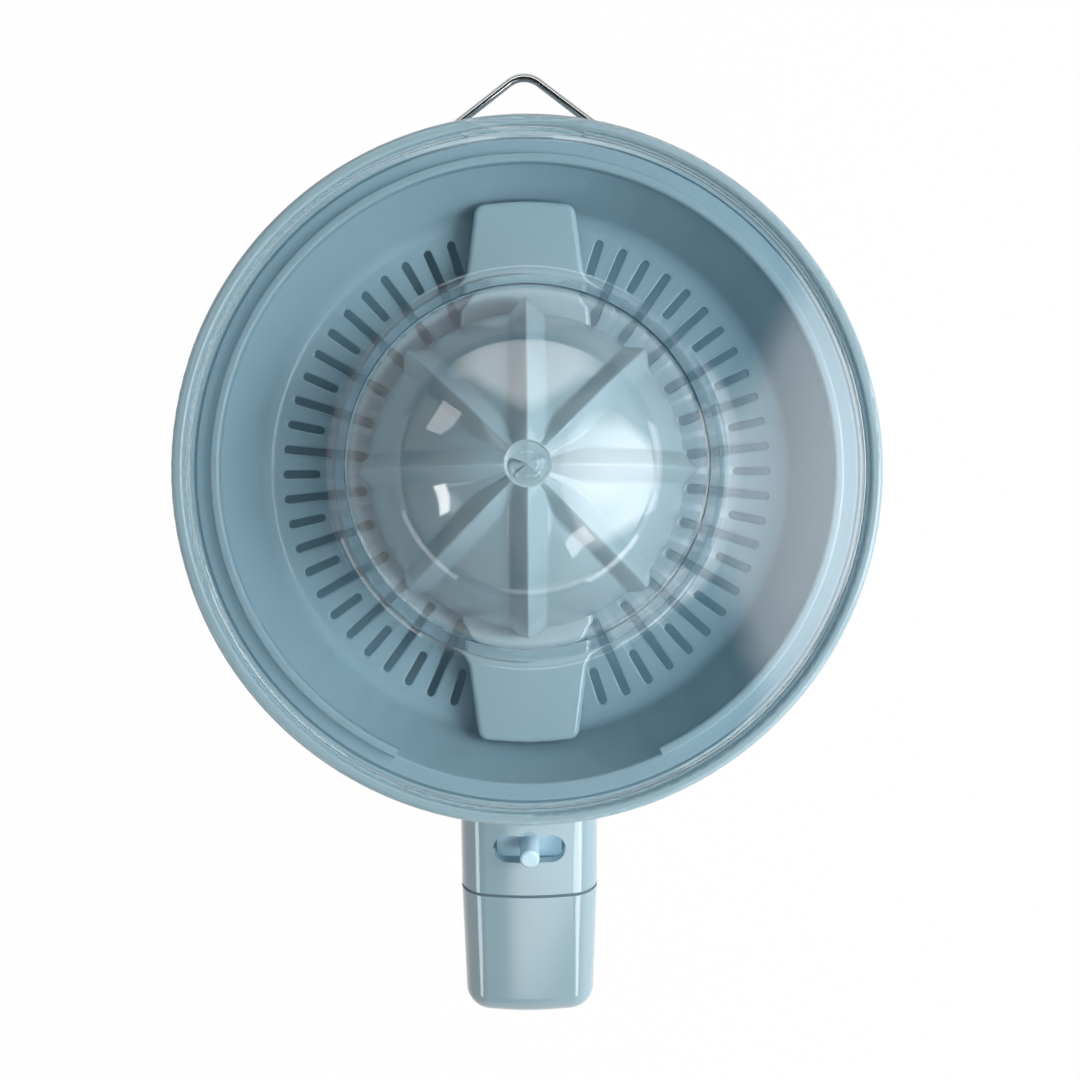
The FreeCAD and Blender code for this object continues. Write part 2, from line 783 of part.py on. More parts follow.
def make_motor():
    can = new_body("motor_can")
    inner = d.can_radius - d.can_wall
    bush_hole = d.bush_radius + d.running_fit
    revolve(can, "Cup", [
        (inner, d.can_bottom),
        (d.can_radius, d.can_bottom),
        (d.can_radius, can_top, 2.0),
        (bush_hole, can_top),
        (bush_hole, can_top - d.can_wall),
        (inner, can_top - d.can_wall),
    ])
    cap_low = d.can_bottom - d.cap_thickness
    ring_part("motor_cap", bush_hole, d.can_radius, cap_low, d.can_bottom, 0.8)
    upper_bush_top = can_top + 1.0
    upper_bush_low = upper_bush_top - d.bush_height
    ring_part("rotor_bush_upper", bush_bore, d.bush_radius, upper_bush_low, upper_bush_top, 0.5)
    ring_part("rotor_bush_lower", bush_bore, d.bush_radius, cap_low, cap_low + d.bush_height, 0.5)
    coil_low = d.can_bottom + (d.can_height - d.coil_height) / 2
    coil = new_body("stator_coil")
    coil_outer = inner - d.running_fit
    coil_top = coil_low + d.coil_height
    revolve(coil, "Winding", [
        (d.coil_inner_radius, coil_low, 2.0),
        (coil_outer, coil_low, 2.0),
        (coil_outer, coil_top, 2.0),
        (d.coil_inner_radius, coil_top, 2.0),
    ])
    ring_part("rotor_shaft", 0, d.rotor_shaft_radius, cap_low - 1.0, rotor_shaft_top, 0.4)
    rotor_low = d.can_bottom + (d.can_height - d.rotor_height) / 2
    magnet_bore = d.rotor_shaft_radius + d.running_fit / 2
    ring_part("rotor_magnet", magnet_bore, d.rotor_radius, rotor_low, rotor_low + d.rotor_height, 0.8)


def make_gear_deck():
    body = new_body("gear_deck")
    plate = new_sketch(body, "Plate", z=gear_deck_bottom)
    circle(plate, d.gear_deck_radius)
    circle(plate, d.sleeve_radius + d.running_fit)
    tip_radius = d.gear_module * (d.pinion_teeth / 2 + GEAR_ADDENDUM)
    circle(plate, tip_radius + 1.5, gear_distance, 0)
    extrude(body, "Disc", plate, d.gear_deck_thickness)
    leg = new_sketch(body, "Leg", z=gear_deck_bottom)
    circle(leg, d.leg_radius, -d.leg_ring, 0)
    stand = extrude(body, "MotorLeg", leg, gear_deck_bottom - can_top, reverse=True)
    polar(body, "MotorLegs", [stand], 3)
    hole = new_sketch(body, "ScrewHole", z=gear_deck_bottom)
    circle(hole, d.screw_radius + d.seat_fit, 0, -d.post_ring)
    bore = extrude(body, "ScrewBore", hole, d.gear_deck_thickness, cut=True, reverse=True)
    polar(body, "ScrewBores", [bore], 3)


def gear_face(teeth, bore_wire):
    """Flat face of an involute gear with a tooth centred on +X."""
    module, backlash = d.gear_module.value, d.gear_backlash.value
    pitch = module * teeth / 2
    base = pitch * math.cos(GEAR_PRESSURE_ANGLE)
    tip = pitch + GEAR_ADDENDUM * module
    root = pitch - GEAR_DEDENDUM * module
    involute_at_pitch = math.tan(GEAR_PRESSURE_ANGLE) - GEAR_PRESSURE_ANGLE
    half_tooth = math.pi / (2 * teeth) - backlash / (2 * pitch)

    def flank(radius, side, middle):
        roll = math.acos(min(1.0, base / max(radius, base)))
        offset = half_tooth + involute_at_pitch - (math.tan(roll) - roll)
        turn = middle + side * offset
        return Vector(radius * math.cos(turn), radius * math.sin(turn), 0)

    start = max(base, root)
    middle_radius = (start + tip) / 2
    edges = []
    for i in range(teeth):
        angle = 2 * math.pi * i / teeth
        step = 2 * math.pi / teeth
        low_right, low_left = flank(root, -1, angle), flank(root, 1, angle)
        right = [flank(r, -1, angle) for r in (start, middle_radius, tip)]
        left = [flank(r, 1, angle) for r in (start, middle_radius, tip)]
        crest = Vector(tip * math.cos(angle), tip * math.sin(angle), 0)
        valley = Vector(root * math.cos(angle + step / 2), root * math.sin(angle + step / 2), 0)
        if root < base:
            edges.append(Part.makeLine(low_right, right[0]))
        edges.append(Part.Arc(*right).toShape())
        edges.append(Part.Arc(right[2], crest, left[2]).toShape())
        edges.append(Part.Arc(*reversed(left)).toShape())
        if root < base:
            edges.append(Part.makeLine(left[0], low_left))
        edges.append(Part.Arc(low_left, valley, flank(root, -1, angle + step)).toShape())
    return Part.makeFace([Part.Wire(edges), bore_wire], "Part::FaceMakerBullseye")


def circle_wire(radius):
    return Part.Wire(Part.makeCircle(radius))


def hex_wire(flats):
    corner = flats / (2 * math.cos(math.radians(30)))
    turns = [math.radians(60 * i) for i in range(7)]
    return Part.makePolygon([Vector(corner * math.cos(t), corner * math.sin(t), 0) for t in turns])


def gear_disc(teeth, low, high, bore_wire):
    """Toothed disc between two heights."""
    face = gear_face(teeth, bore_wire)
    disc = face.extrude(Vector(0, 0, high - low))
    disc.translate(Vector(0, 0, low))
    return disc


def tube(outer, bore_wire, low, high):
    """Round hub between two heights."""
    face = Part.makeFace([circle_wire(outer), bore_wire], "Part::FaceMakerBullseye")
    hub = face.extrude(Vector(0, 0, high - low))
    hub.translate(Vector(0, 0, low))
    return hub


def shaped_part(label, shape, x=0.0, turn=0.0):
    """A sub-part whose form comes from a formula."""
    feature = doc.addObject("Part::Feature", label)
    feature.Label = label
    feature.Shape = shape
    moved = FreeCAD.Placement(Vector(x, 0, 0), FreeCAD.Rotation(Vector(0, 0, 1), turn))
    feature.Placement = moved.multiply(shape.Placement)
    parts.append(feature)


def make_gears():
    pinion_teeth, wheel_teeth = int(d.pinion_teeth.value), int(d.wheel_teeth.value)
    shaft_bore = circle_wire(d.rotor_shaft_radius.value + d.running_fit.value / 2)
    pinion = gear_disc(pinion_teeth, gear_low.value, gear_low_top.value, shaft_bore)
    shaped_part("motor_pinion", pinion)

    axle_bore = d.axle_radius.value + d.running_fit.value
    neck_radius = d.gear_module.value * (pinion_teeth / 2 - GEAR_DEDENDUM)
    wheel = gear_disc(wheel_teeth, gear_low.value, gear_low_top.value, circle_wire(axle_bore))
    neck = tube(neck_radius, circle_wire(axle_bore), gear_low_top.value, gear_high.value)
    small = gear_disc(pinion_teeth, gear_high.value, gear_high_top.value, circle_wire(axle_bore))
    idler = wheel.fuse([neck, small]).removeSplitter()
    shaped_part("idler_gear", idler, gear_distance.value)

    hex_bore = d.hex_flats.value + 2 * d.hex_fit.value
    sleeve = tube(d.sleeve_radius.value, hex_wire(hex_bore), gear_deck_bottom.value, gear_deck_top.value)
    thrust = tube(d.thrust_flange_radius.value, hex_wire(hex_bore), gear_deck_top.value, gear_high.value)
    teeth = gear_disc(wheel_teeth, gear_high.value, gear_high_top.value, hex_wire(hex_bore))
    output = sleeve.fuse([thrust, teeth]).removeSplitter()
    shaped_part("output_gear", output, turn=180.0)


def make_idler_axle():
    body = new_body("idler_axle")
    low = gear_low - 2 * d.clip_thickness
    high = deck_under
    radius = d.axle_radius - d.running_fit / 2
    revolve(body, "Turned", [(0, low), (radius, low, 0.4), (radius, high), (0, high)])
    place(body, gear_distance)
    clip = ring_part("idler_clip", d.axle_radius, d.clip_radius, gear_low - d.clip_thickness, gear_low)
    place(clip, gear_distance)


# Drive shaft, bush, seal, spring and switch

def make_drive_shaft():
    body = new_body("drive_shaft")
    hex_base = d.shaft_top - d.drive_hex_length
    lower = new_sketch(body, "LowerHex", z=shaft_bottom)
    hexagon(lower, d.hex_flats)
    extrude(body, "Tail", lower, collar_bottom - shaft_bottom)
    revolve(body, "Journal", [
        (0, collar_bottom),
        (d.collar_radius, collar_bottom, 0.6),
        (d.collar_radius, collar_top),
        (d.shaft_radius, collar_top),
        (d.shaft_radius, hex_base),
        (0, hex_base),
    ])
    upper = new_sketch(body, "DriveHex", z=hex_base)
    hexagon(upper, d.hex_flats)
    extrude(body, "Drive", upper, d.drive_hex_length)

    bush = new_body("shaft_bush")
    bore = d.shaft_radius + d.running_fit
    bush_top = tower_top - d.seal_height
    revolve(bush, "Turned", [
        (bore, collar_top),
        (d.shaft_bush_flange, collar_top),
        (d.shaft_bush_flange, deck_under),
        (d.shaft_bush_radius, deck_under),
        (d.shaft_bush_radius, bush_top),
        (bore, bush_top),
    ])
    ring_part("shaft_seal", bore, d.shaft_bush_radius, bush_top, tower_top)


def make_spring():
    helix = doc.addObject("Part::Helix", "SpringPath")
    height = collar_bottom - gear_high_top - 2 * d.spring_wire_radius - 0.2
    helix.Radius = d.spring_radius.value
    bind(helix, "Radius", d.spring_radius)
    helix.Height = height.value
    bind(helix, "Height", height)
    helix.Pitch = (height / d.spring_turns).value
    bind(helix, "Pitch", height / d.spring_turns)
    section = doc.addObject("Part::Circle", "SpringSection")
    section.Radius = d.spring_wire_radius.value
    bind(section, "Radius", d.spring_wire_radius)
    section.Placement = FreeCAD.Placement(
        Vector(d.spring_radius.value, 0, 0), FreeCAD.Rotation(Vector(1, 0, 0), 90))
    bind(section, "Placement.Base.x", d.spring_radius)
    spring = doc.addObject("Part::Sweep", "return_spring")
    spring.Label = "return_spring"
    spring.Sections = [section]
    spring.Spine = (helix, [])
    spring.Solid = True
    spring.Frenet = True
    place(spring, z=gear_high_top + d.spring_wire_radius + 0.1)
    parts.append(spring)


def make_switch():
    body = new_body("microswitch")
    case = new_sketch(body, "Case", z=switch_bottom)
    half = d.switch_width / 2
    box_outline(case, -switch_outer, -d.switch_reach, -half, half, 0.8)
    extrude(body, "Block", case, d.switch_height)
    bore = new_sketch(body, "PlungerBore", z=switch_top)
    circle(bore, d.plunger_radius + d.running_fit, -plunger_reach, 0)
    extrude(body, "Guide", bore, d.plunger_length, cut=True)
    plunger = new_body("switch_plunger")
    length = d.plunger_length
    revolve(plunger, "Turned", [
        (0, collar_bottom - length),
        (d.plunger_radius, collar_bottom - length),
        (d.plunger_radius, collar_bottom, 0.6),
        (0, collar_bottom),
    ])
    place(plunger, -plunger_reach)


# Juice bowl with spout neck, drip-stop web and ears

def make_bowl():
    body = new_body("juice_bowl")
    revolve(body, "Blank", [
        (chimney_bore, bowl_under),
        (skirt_inner, bowl_under),
        (skirt_inner, d.housing_height),
        (d.bowl_foot_radius, d.housing_height),
        (d.bowl_foot_radius + 1.5, bowl_floor, 14.0),
        (d.bowl_wall_top, rim_under),
        (d.rim_radius, rim_under, 1.2),
        (d.rim_radius, d.rim_top, 1.3),
        (rim_inner, d.rim_top, 0.8),
        (rim_inner, cover_seat),
        (cover_seat_inner, cover_seat),
        (cover_seat_inner, strainer_seat),
        (chimney_bore, strainer_seat),
    ])
    neck = spout_section(body, "NeckSection", 0)
    spout_outline(neck, d.spout_width, d.spout_depth, d.spout_corner)
    extrude(body, "Neck", neck, d.neck_length, reverse=True)
    ear = new_sketch(body, "EarOutline", "YZ_Plane", z=d.bail_half_width + d.ear_setback)
    ear_front = d.bail_axis_reach + d.ear_radius
    ear_low = d.bail_axis_height - d.ear_radius
    outline(ear, [
        (d.bail_axis_reach - 3 * d.ear_radius, ear_low - d.ear_radius),
        (ear_front, ear_low, 2.0),
        (ear_front, rim_under + 1.0),
        (d.bail_axis_reach - 3 * d.ear_radius, rim_under + 1.0),
    ])
    circle(ear, d.wire_radius + d.running_fit, d.bail_axis_reach, d.bail_axis_height)
    lug = extrude(body, "Ear", ear, d.ear_thickness)
    mirror(body, "Ears", [lug])
    revolve(body, "Cavity", [
        (chimney_bore - 0.5, d.chimney_height),
        (d.chimney_radius, d.chimney_height),
        (d.chimney_radius, bowl_floor + d.bowl_floor_rise, 2.0),
        (d.bowl_inner_foot, bowl_floor, 6.0),
        (strainer_seat_inner, strainer_seat - 1.0),
        (strainer_seat_inner, strainer_seat + 1.0),
        (chimney_bore - 0.5, strainer_seat + 1.0),
    ], cut=True)
    channel = spout_section(body, "ChannelSection", 0)
    spout_outline(channel, channel_width, channel_depth, d.spout_corner - d.spout_wall)
    extrude(body, "Channel", channel, d.channel_length, cut=True)
    half_slot = d.slot_length / 2
    slot_low = d.slot_setback - d.slot_width / 2
    slot_high = d.slot_setback + d.slot_width / 2
    slot = spout_floor(body, "SlotOutline", d.spout_depth / 2 + 1.0)
    box_outline(slot, -half_slot, half_slot, slot_low, slot_high, 0.48 * d.slot_width)
    extrude(body, "Slot", slot, d.spout_depth / 2 - d.plate_thickness, cut=True)
    web = spout_section(body, "WebSection", -d.web_setback)
    grip = d.spout_wall / 2
    box_outline(web, -channel_width / 2 - grip, channel_width / 2 + grip, -channel_depth / 2 - grip, 0, 2.0)
    circle(web, d.port_radius, -d.slide_travel, -channel_depth / 4)
    extrude(body, "Web", web, d.web_thickness, reverse=True)
    notch = new_sketch(body, "KeyNotch", z=d.housing_height)
    half_notch = d.key_width / 2 + d.seat_fit
    box_outline(notch, -half_notch, half_notch, skirt_inner - 1.0, d.bowl_foot_radius + 1.0)
    extrude(body, "Notch", notch, d.key_height + d.seat_fit, cut=True, reverse=True)


def make_spout_tip():
    seal = new_body("spout_seal")
    ring = spout_section(seal, "Ring", 0)
    margin = 2 * d.seat_fit
    spout_outline(ring, d.spout_width - margin, d.spout_depth - margin, d.spout_corner - d.seat_fit)
    spout_outline(ring, channel_width, channel_depth, d.spout_corner - d.spout_wall)
    extrude(seal, "Gasket", ring, d.seal_thickness)

    tip = new_body("spout_tip")
    face = spout_section(tip, "Face", d.seal_thickness)
    spout_outline(face, d.spout_width, d.spout_depth, d.spout_corner)
    hood = extrude(tip, "Hood", face, d.tip_length)
    hood.TaperAngle = -d.tip_draft.value
    bind(hood, "TaperAngle", -d.tip_draft)
    round_face(tip, "EndRound", d.tip_round, Vector(0, -1, -0.3))
    spigot = spout_section(tip, "Spigot", d.seal_thickness)
    corner = d.spout_corner - d.spout_wall - d.seat_fit
    spout_outline(spigot, spigot_width, spigot_depth, corner)
    extrude(tip, "Plug", spigot, d.spigot_length + d.seal_thickness, reverse=True)
    inside = spout_section(tip, "Inside", -d.spigot_length)
    spout_outline(inside, tip_channel_width, tip_channel_depth, corner - d.spigot_wall)
    reach = d.spigot_length + d.seal_thickness + d.tip_length - d.wall - 1.0
    extrude(tip, "Bore", inside, reach, cut=True, reverse=True)
    outlet = spout_floor(tip, "Outlet", -d.spout_depth / 2 - 1.0)
    half = d.outlet_width / 2
    far = d.seal_thickness + d.tip_length - d.outlet_setback
    box_outline(outlet, -half, half, -far, d.outlet_length - far, 3.0)
    extrude(tip, "Mouth", outlet, d.spout_depth / 2, cut=True, reverse=True)


def make_drip_slider():
    body = new_body("drip_slider")
    plate = spout_floor(body, "Plate", 0)
    half = d.plate_width / 2
    low = d.slot_setback - d.plate_length / 2
    box_outline(plate, -half, half, low, low + d.plate_length, 1.0)
    extrude(body, "Slide", plate, d.plate_thickness)
    blade = spout_floor(body, "Blade", 0)
    back = d.web_setback - d.seat_fit
    half_blade = d.blade_width / 2
    box_outline(blade, -half_blade, half_blade, back - d.blade_thickness, back)
    extrude(body, "Gate", blade, channel_depth / 2 - 2 * d.seat_fit, reverse=True)
    pin = spout_floor(body, "Pin", d.plate_thickness)
    circle(pin, d.pin_radius, 0, d.slot_setback)
    extrude(body, "Finger", pin, d.pin_height)
    round_face(body, "PinRound", 0.7, Vector(0, 0, 1))


def make_bail():
    body = new_body("hanging_bail")
    path = new_sketch(body, "Path", z=d.bail_axis_height)
    end = d.bail_half_width + d.bail_pin_length
    outline(path, [
        (end, d.bail_axis_reach),
        (d.bail_half_width, d.bail_axis_reach, d.bail_foot_bend),
        (0, d.bail_apex_reach, d.bail_apex_bend),
        (-d.bail_half_width, d.bail_axis_reach, d.bail_foot_bend),
        (-end, d.bail_axis_reach),
    ], closed=False)
    section = new_sketch(body, "Section", "YZ_Plane", x=d.bail_axis_reach, y=d.bail_axis_height, z=end)
    circle(section, d.wire_radius)
    pipe = body.newObject("PartDesign::AdditivePipe", "Wire")
    pipe.Profile = section
    pipe.Spine = (path, [])


# Strainer, sweeper, reamer and cover

def make_strainer():
    body = new_body("strainer")
    flange_outer = cover_seat_inner - d.seat_fit
    floor_low = d.strainer_floor - d.strainer_wall
    revolve(body, "Basket", [
        (collar_inner, floor_low),
        (d.strainer_foot_radius + d.strainer_wall, floor_low, 4.0),
        (d.strainer_mouth_radius + d.strainer_wall - 0.2, strainer_seat),
        (flange_outer, strainer_seat),
        (flange_outer, flange_top, 0.6),
        (d.strainer_mouth_radius, flange_top, 0.8),
        (d.strainer_foot_radius, d.strainer_floor, 4.0),
        (collar_outer, d.strainer_floor, 1.0),
        (collar_outer, sweeper_low),
        (collar_inner, sweeper_low),
    ])
    lip_inner = d.strainer_mouth_radius - d.lip_width
    lip_root = flange_top - d.strainer_flange_thickness
    revolve(body, "Lip", [
        (d.strainer_mouth_radius + 0.4, lip_root),
        (d.strainer_mouth_radius + 0.4, flange_top + d.lip_height, 0.7),
        (lip_inner, flange_top + d.lip_height, 0.7),
        (lip_inner, lip_root + 1.0),
    ], role="YZ_Plane", angle=360 - d.lip_gap)
    half = d.strainer_slot_width / 2
    bow = 0.6 * d.strainer_slot_width
    for name, inner, turn in (("Long", d.long_slot_inner, 0), ("Short", d.short_slot_inner, 1)):
        slot = new_sketch(body, f"{name}Slot", z=d.strainer_floor)
        across = 180 * turn / d.slot_count
        slot_points = []
        outer = d.strainer_slot_outer
        for x, y in ((-half, inner), (half, inner), (half, outer), (-half, outer)):
            turned_x = x * cosine(across) - y * sine(across)
            turned_y = x * sine(across) + y * cosine(across)
            slot_points.append((turned_x, turned_y))
        outline(slot, slot_points, bows={0: -bow, 2: -bow})
        cut = extrude(body, f"{name}Cut", slot, 2 * d.strainer_wall, cut=True)
        polar(body, f"{name}Slots", [cut], d.slot_count)


def make_sweeper():
    body = new_body("sweeper")
    bore = collar_inner + 0.5
    skirt = collar_outer + d.seat_fit
    revolve(body, "Ring", [
        (bore, sweeper_low),
        (skirt, sweeper_low),
        (skirt, sweeper_low - 0.6 * d.collar_height),
        (skirt + d.collar_wall, sweeper_low - 0.6 * d.collar_height),
        (skirt + d.collar_wall, sweeper_low),
        (d.sweeper_radius, sweeper_low),
        (d.sweeper_radius, sweeper_top),
        (bore, sweeper_top),
    ])
    wing = new_sketch(body, "WingOutline", z=sweeper_low)
    root = d.sweeper_radius - d.wing_root_overlap
    half_root, half_tip = d.wing_root_width / 2, d.wing_tip_width / 2
    edge = d.wing_reach - half_tip * half_tip / (2 * d.wing_reach)
    outline(wing, [
        (-half_root, root),
        (half_root, root),
        (half_tip, edge, d.wing_corner),
        (0, d.wing_reach, 2 * d.wing_tip_width),
        (-half_tip, edge, d.wing_corner),
    ])
    blade = extrude(body, "Wing", wing, d.sweeper_thickness)
    scraper = new_sketch(body, "ScraperOutline", z=sweeper_low)
    half = d.scraper_thickness / 2
    scraper_end = d.wing_reach - 2 * d.wing_corner
    box_outline(scraper, -half, half, d.sweeper_radius, scraper_end, 0.4 * d.scraper_thickness)
    drop = sweeper_low - d.strainer_floor - d.scraper_gap
    rib = extrude(body, "Scraper", scraper, drop, reverse=True)
    dog = new_sketch(body, "DogOutline", z=sweeper_top)
    gap = d.web_rib_thickness / 2 + d.seat_fit
    dog_outer = d.dog_inner + d.dog_length
    box_outline(dog, d.dog_inner, dog_outer, gap, gap + d.dog_thickness, 0.6)
    box_outline(dog, d.dog_inner, dog_outer, -gap - d.dog_thickness, -gap, 0.6)
    lugs = extrude(body, "Dogs", dog, d.dog_height)
    polar(body, "Pair", [blade, rib, lugs], 2)


def core_radius(height_share):
    """Radius of the cone's round core at a share of its height: an arc from foot to peak."""
    rise = height_share * d.reamer_height.value
    foot, tall = d.reamer_radius.value, d.reamer_height.value
    bend = (tall * tall + foot * foot) / (2 * foot)
    return math.sqrt(bend * bend - rise * rise) - (bend - foot)


def reamer_section(height_share, crest):
    """Closed curve round the cone at one height: a round core with wedge ridges."""
    core = core_radius(height_share)
    ridges = int(d.ridge_count.value)
    steps = 10
    points = []
    for i in range(ridges * steps):
        turn = 2 * math.pi * i / (ridges * steps)
        phase = abs((i % steps) / steps - 0.5) * 2
        arc_gap = (1 - phase) * math.pi * core / ridges
        half_width = 0.5 * d.ridge_height.value + 2.2
        share = max(0.0, 1 - arc_gap / half_width)
        bump = crest * share * share * (3 - 2 * share)
        radius = core + bump
        points.append(Vector(radius * math.sin(turn), radius * math.cos(turn), 0))
    curve = Part.BSplineCurve()
    curve.interpolate(points, PeriodicFlag=True)
    wire = Part.Wire(curve.toShape())
    wire.translate(Vector(0, 0, d.reamer_base.value + height_share * d.reamer_height.value))
    return wire


def make_reamer():
    base, foot = d.reamer_base.value, d.reamer_radius.value
    tall, wall = d.reamer_height.value, d.reamer_wall.value
    crest = d.ridge_height.value
    shares = (0.0, 0.1, 0.25, 0.4, 0.55, 0.7, 0.82, 0.91, 0.97)
    sections = [reamer_section(s, crest * (1 - 0.75 * s ** 4)) for s in shares]
    cone = Part.makeLoft(sections, True, False)

    hub_bottom = base + d.hub_lift.value
    hub = d.hub_radius.value
    cavity_points = [Vector(0, 0, base - 1), Vector(foot - wall, 0, base - 1)]
    for share in (0.15, 0.35, 0.55, 0.68):
        cavity_points.append(Vector(core_radius(share) - wall, 0, base + share * tall - wall * share))
    cavity_points.append(Vector(hub, 0, base + 0.72 * tall))
    cavity_points.append(Vector(hub, 0, hub_bottom))
    cavity_points.append(Vector(0, 0, hub_bottom))
    cavity_face = Part.Face(Part.makePolygon(cavity_points + [cavity_points[0]]))
    cavity = cavity_face.revolve(Vector(0, 0, 0), Vector(0, 0, 1), 360)
    shell = cone.cut(cavity)

    rib_thickness = d.web_rib_thickness.value
    rib_low = base + d.web_rib_lift.value
    rib_inner = d.chimney_radius.value + 1.5
    rib_points = [Vector(hub - 1, 0, hub_bottom), Vector(rib_inner, 0, hub_bottom)]
    rib_points += [Vector(rib_inner, 0, rib_low), Vector(foot - wall + 0.6, 0, rib_low)]
    for share in (0.15, 0.35, 0.55, 0.68):
        rib_points.append(Vector(core_radius(share) - wall + 0.6, 0, base + share * tall - wall * share))
    rib_points.append(Vector(hub - 1, 0, base + 0.74 * tall))
    rib_face = Part.Face(Part.makePolygon(rib_points + [rib_points[0]]))
    rib = rib_face.extrude(Vector(0, rib_thickness, 0))
    rib.translate(Vector(0, -rib_thickness / 2, 0))
    other = rib.copy()
    other.rotate(Vector(0, 0, 0), Vector(0, 0, 1), 180)
    shell = shell.fuse([rib, other])

    socket_face = Part.Face(hex_wire(d.hex_flats.value + 2 * d.hex_fit.value))
    socket = socket_face.extrude(Vector(0, 0, d.shaft_top.value - base + 1))
    socket.translate(Vector(0, 0, base - 1))
    shaped_part("reamer", shell.cut(socket).removeSplitter())


def make_cover():
    body = new_body("dust_cover")
    edge = rim_inner - d.seat_fit
    thick = d.cover_wall
    skirt_top = cover_seat + d.cover_skirt
    crown_base = skirt_top + d.cover_rise
    shoulder = crown_base + d.crown_wall_height
    crown_top = shoulder + d.crown_slope_height
    peak = crown_top + d.crown_peak_height
    knob_top = peak + d.knob_height
    revolve(body, "Shell", [
        (edge - thick, cover_seat),
        (edge, cover_seat),
        (edge, skirt_top, 2.4),
        (d.crown_radius, crown_base, 2.0),
        (d.crown_shoulder_radius, shoulder, 8.0),
        (d.crown_top_radius, crown_top, 6.0),
        (d.knob_radius, peak, 1.2),
        (d.knob_radius - 0.5, knob_top, 1.8),
        (0, knob_top),
        (0, peak - thick),
        (d.knob_radius, peak - thick),
        (d.crown_top_radius - 0.5 * thick, crown_top - thick, 6.0),
        (d.crown_shoulder_radius - thick, shoulder - 0.6 * thick, 8.0),
        (d.crown_radius - thick, crown_base - thick, 3.5),
        (edge - thick, skirt_top - thick, 0.8),
    ])
    tab = new_sketch(body, "TabOutline", z=d.rim_top + d.seat_fit)
    half = d.tab_width / 2
    box_outline(tab, -half, half, edge - 0.75 * thick - 1.0, d.rim_radius - 0.4, 0.6)
    extrude(body, "Tab", tab, d.tab_thickness)


make_feet()
make_base_plate()
make_screws()
make_gland()
make_housing()
make_motor()
make_gear_deck()
make_gears()
make_idler_axle()
make_drive_shaft()
make_spring()
make_switch()
make_bowl()
make_spout_tip()
make_drip_slider()
make_bail()
make_strainer()
make_sweeper()
make_reamer()
make_cover()
doc.recompute()

# Every object has to be sound before anything is written

failed = [item.Name for item in doc.Objects if {"Invalid", "Error"} & set(item.State)]
if failed:
    raise RuntimeError(f"failed objects: {failed}")
unsound = []
for part in parts:
    shape = part.Shape
    if shape.isNull() or not shape.isValid() or len(shape.Solids) != 1:
        unsound.append(part.Label)
if unsound:
    raise RuntimeError(f"not one sound solid each: {unsound}")

os.makedirs("parts", exist_ok=True)
for part in parts:
    part.Shape.exportStep(f"parts/{part.Label}.step")
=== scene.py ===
import math

import bmesh
import bpy
from mathutils import Matrix, Vector


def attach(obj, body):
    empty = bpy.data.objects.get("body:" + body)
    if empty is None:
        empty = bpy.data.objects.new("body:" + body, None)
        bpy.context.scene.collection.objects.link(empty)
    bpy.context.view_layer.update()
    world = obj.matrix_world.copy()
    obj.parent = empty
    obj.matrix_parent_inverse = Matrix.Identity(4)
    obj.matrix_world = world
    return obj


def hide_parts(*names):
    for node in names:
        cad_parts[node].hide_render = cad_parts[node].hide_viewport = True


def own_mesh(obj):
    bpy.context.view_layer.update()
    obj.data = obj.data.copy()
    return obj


# Citrus press juicer: pale blue moulded plastic under a clear cover, seen from straight above.
# Lengths are in millimetres until a mesh is finished; angles are in degrees.

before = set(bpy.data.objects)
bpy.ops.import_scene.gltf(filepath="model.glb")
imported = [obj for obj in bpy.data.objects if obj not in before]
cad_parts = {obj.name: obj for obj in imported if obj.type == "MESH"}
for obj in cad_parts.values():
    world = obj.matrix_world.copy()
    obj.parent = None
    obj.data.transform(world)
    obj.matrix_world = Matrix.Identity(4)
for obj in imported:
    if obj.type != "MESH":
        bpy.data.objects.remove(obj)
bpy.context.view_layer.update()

MM = 0.001
FULL_TURN = 2 * math.pi

# Fineness of the meshes
ARC_STEP = math.radians(7.5)
TURN_STEPS = 240
COVER_STEPS = 360
CONE_RINGS = 44
STEPS_PER_RIDGE = 80
MERGE = 1e-4

# Heights and radii shared with the solids
COVER_SEAT = 197.0
COVER_EDGE = 76.9
STRAINER_SEAT = 195.0
BASKET_FLOOR = 176.0
BASKET_FOOT = 61.0
BASKET_MOUTH = 70.8
SWEEPER_LOW = 182.0
SWEEPER_TOP = 184.5
CONE_BASE = 187.5
CONE_RADIUS = 36.0
CONE_HEIGHT = 44.5
RIDGES = 8
SLOTS = 30

PALE_BLUE = (0.305, 0.446, 0.512)
BASKET_BLUE = (0.26, 0.405, 0.485)
# SLIDER_BLUE is pale plastic, lightened further as painted light: it stands in for light in the shaded
# pocket under the spout
SLIDER_BLUE = (0.55, 0.76, 0.87)

# Share of lamp light that each side of a thin blue wall, or of the clear cover, lets by
THIN_WALL = (0.76, 0.86, 0.90)
CLEAR_WALL = (0.98, 0.985, 0.988)


# Surface finishes

class Value:
    """A node's output that takes part in ordinary arithmetic."""

    def __init__(self, graph, socket):
        self.graph = graph
        self.socket = socket

    def math(self, operation, first, second=0.0):
        return self.graph.node("ShaderNodeMath", {"operation": operation}, {0: first, 1: second})

    def __add__(self, other):
        return self.math("ADD", self, other)

    def __sub__(self, other):
        return self.math("SUBTRACT", self, other)

    def __rsub__(self, other):
        return self.math("SUBTRACT", other, self)

    def __mul__(self, other):
        return self.math("MULTIPLY", self, other)

    def __abs__(self):
        return self.math("ABSOLUTE", self)

    __radd__ = __add__
    __rmul__ = __mul__


